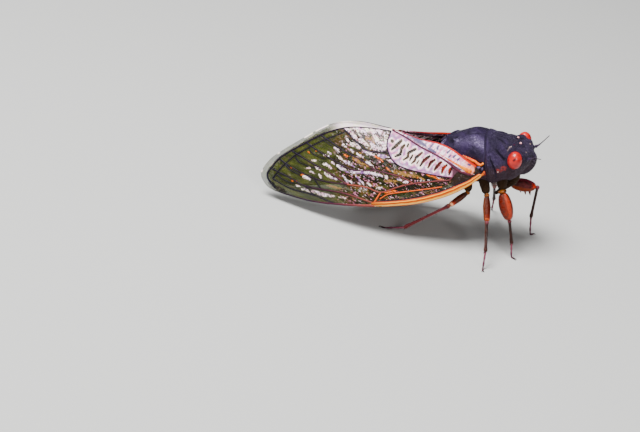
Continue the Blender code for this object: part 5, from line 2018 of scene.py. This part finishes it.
    def set_trim(self, side: Side, palette: Palette) -> None:
        """Models and sets one forewing's strong edges, its fold and the pieces that it turns on."""
        for name in ("front_band", "back_band", "claval_fold", "claval_edge"):
            band: Band = getattr(self, name)
            flat = smooth_path(band.edge, 0.25) + np.array((0.0, band.inland))
            shape = tube(self.on_wing(side, flat), band.radii, 20, 0.15, band.flatness, UP)
            set_piece(f"{name}_{side.word}", shape, palette.of(band.finish))
        for name in dict.fromkeys(rod.name for rod in self.rods):
            shapes = []
            for rod in (rod for rod in self.rods if rod.name == name):
                path = smooth_path([mirrored(p, side) for p in rod.path], 0.15)
                shapes.append(tube(path, scaled(self.rod_radii, rod.radius), 16, 0.08))
                finish = palette.of(rod.finish)
            set_piece(f"wing_{name}_{side.word}", join(shapes), finish)

    def build(self, palette: Palette) -> None:
        """Models and sets the four wings.

        Args:
            palette: The finishes.
        """
        fore_veins = [*FOREWING_VEINS.values(), *self.edge_veins()]
        hind_veins = list(HINDWING_VEINS.values())
        wings = (("forewing", self.fore, fore_veins), ("hindwing", self.hind, hind_veins))
        clear, tubes = palette.of(MembraneFinish()), palette.of(VeinFinish())
        for side in Side:
            for wing, vane, _ in wings:
                node = f"{wing}_{side.word}"
                piece = set_piece(f"{node}_membrane", self.membrane(side, vane), clear, (node,))
                solidify = piece.modifiers.new("thickness", "SOLIDIFY")
                solidify.thickness = self.thickness * MILLIMETRE
                solidify.offset = 0.0
            self.set_trim(side, palette)
            for wing, vane, veins in wings:
                net = self.net(side, veins, vane.depth)
                set_piece(f"{wing}_{side.word}_veins", net, tubes)


# The studio


@dataclass
class Studio:
    """Floor, lights and camera."""

    azimuth: float = math.radians(14.6)
    elevation: float = math.radians(23.6)
    pixels_per_millimetre: float = 6.7
    distance: float = 265.0
    nose: Place = (7.6, 0.0, -0.4)
    nose_pixel: tuple[float, float] = (536.8, 156.0)
    frame_size: tuple[int, int] = (640, 432)
    sensor: float = 36.0
    floor_reach: float = 2.0
    floor_colour: Colour = (0.42, 0.42, 0.41)
    sky_colour: Colour = (0.8, 0.82, 0.86)
    sky_strength: float = 0.12
    lights: tuple[tuple[str, Place, float, float], ...] = (  # name, place, size and power
        ("sky_light", (-0.1, -0.08, 0.36), 0.18, 4.8),
        ("front_light", (0.2, -0.32, 0.2), 0.1, 0.9),
    )

    def camera_axes(self) -> tuple[Vector, Vector, Vector]:
        """Right, up and back of the view, in the insect's frame."""
        a, e = self.azimuth, self.elevation
        back = Vector((math.sin(a) * math.cos(e), -math.cos(a) * math.cos(e), math.sin(e)))
        level = Vector((math.cos(a), math.sin(a), 0.0))
        up = back.cross(level)
        slope = math.atan(math.sin(e) * math.tan(a))
        return (
            math.cos(slope) * level - math.sin(slope) * up,
            math.sin(slope) * level + math.cos(slope) * up,
            back,
        )

    def place_camera(self) -> None:
        """Sets the camera where the photograph was taken from."""
        right, up, back = self.camera_axes()
        width, height = self.frame_size
        aside = (self.nose_pixel[0] - width / 2) / self.pixels_per_millimetre
        above = (height / 2 - self.nose_pixel[1]) / self.pixels_per_millimetre
        place = Vector(self.nose) - right * aside - up * above + back * self.distance
        matrix = Matrix((right, up, back)).transposed().to_4x4()
        matrix.translation = place
        lens = bpy.data.cameras.new("camera")
        lens.sensor_width = self.sensor
        lens.lens = self.pixels_per_millimetre * self.distance / width * self.sensor
        lens.clip_start = 0.001
        camera = bpy.data.objects.new("camera", lens)
        bpy.context.scene.collection.objects.link(camera)
        unscaled = Matrix.Translation(STANCE_SHIFT * MILLIMETRE) @ TURN
        matrix.translation *= MILLIMETRE
        camera.matrix_world = unscaled @ matrix
        bpy.context.scene.camera = camera

    def light(self, name: str, place: Place, size: float, power: float) -> None:
        """Hangs one soft square light that faces the insect."""
        lamp = bpy.data.lights.new(name, "AREA")
        lamp.size = size
        lamp.energy = power
        holder = bpy.data.objects.new(name, lamp)
        bpy.context.scene.collection.objects.link(holder)
        holder.location = place
        holder.rotation_euler = Vector(place).to_track_quat("Z", "Y").to_euler()

    def build(self) -> None:
        """Sets the floor, lights, world and camera."""
        shape = bmesh.new()
        bmesh.ops.create_grid(shape, x_segments=1, y_segments=1, size=self.floor_reach)
        floor = as_object("studio_floor", shape)
        paper = bpy.data.materials.new("floor_paper")
        paper.use_nodes = True
        sockets = paper.node_tree.nodes["Principled BSDF"].inputs
        sockets["Base Color"].default_value = (*self.floor_colour, 1.0)
        sockets["Roughness"].default_value = 0.9
        floor.data.materials.append(paper)
        world = bpy.data.worlds.new("studio_world")
        world.use_nodes = True
        sockets = world.node_tree.nodes["Background"].inputs
        sockets["Color"].default_value = (*self.sky_colour, 1.0)
        sockets["Strength"].default_value = self.sky_strength
        bpy.context.scene.world = world
        for light in self.lights:
            self.light(*light)
        self.place_camera()


def main() -> None:
    """Builds the studio and the insect."""
    logging.basicConfig(level=logging.INFO, format="%(message)s")
    Studio().build()
    palette = Palette()
    Trunk().build(palette)
    Abdomen().build(palette)
    Head().build(palette)
    Legs().build(palette)
    Wings().build(palette)


if __name__ == "__main__":
    main()
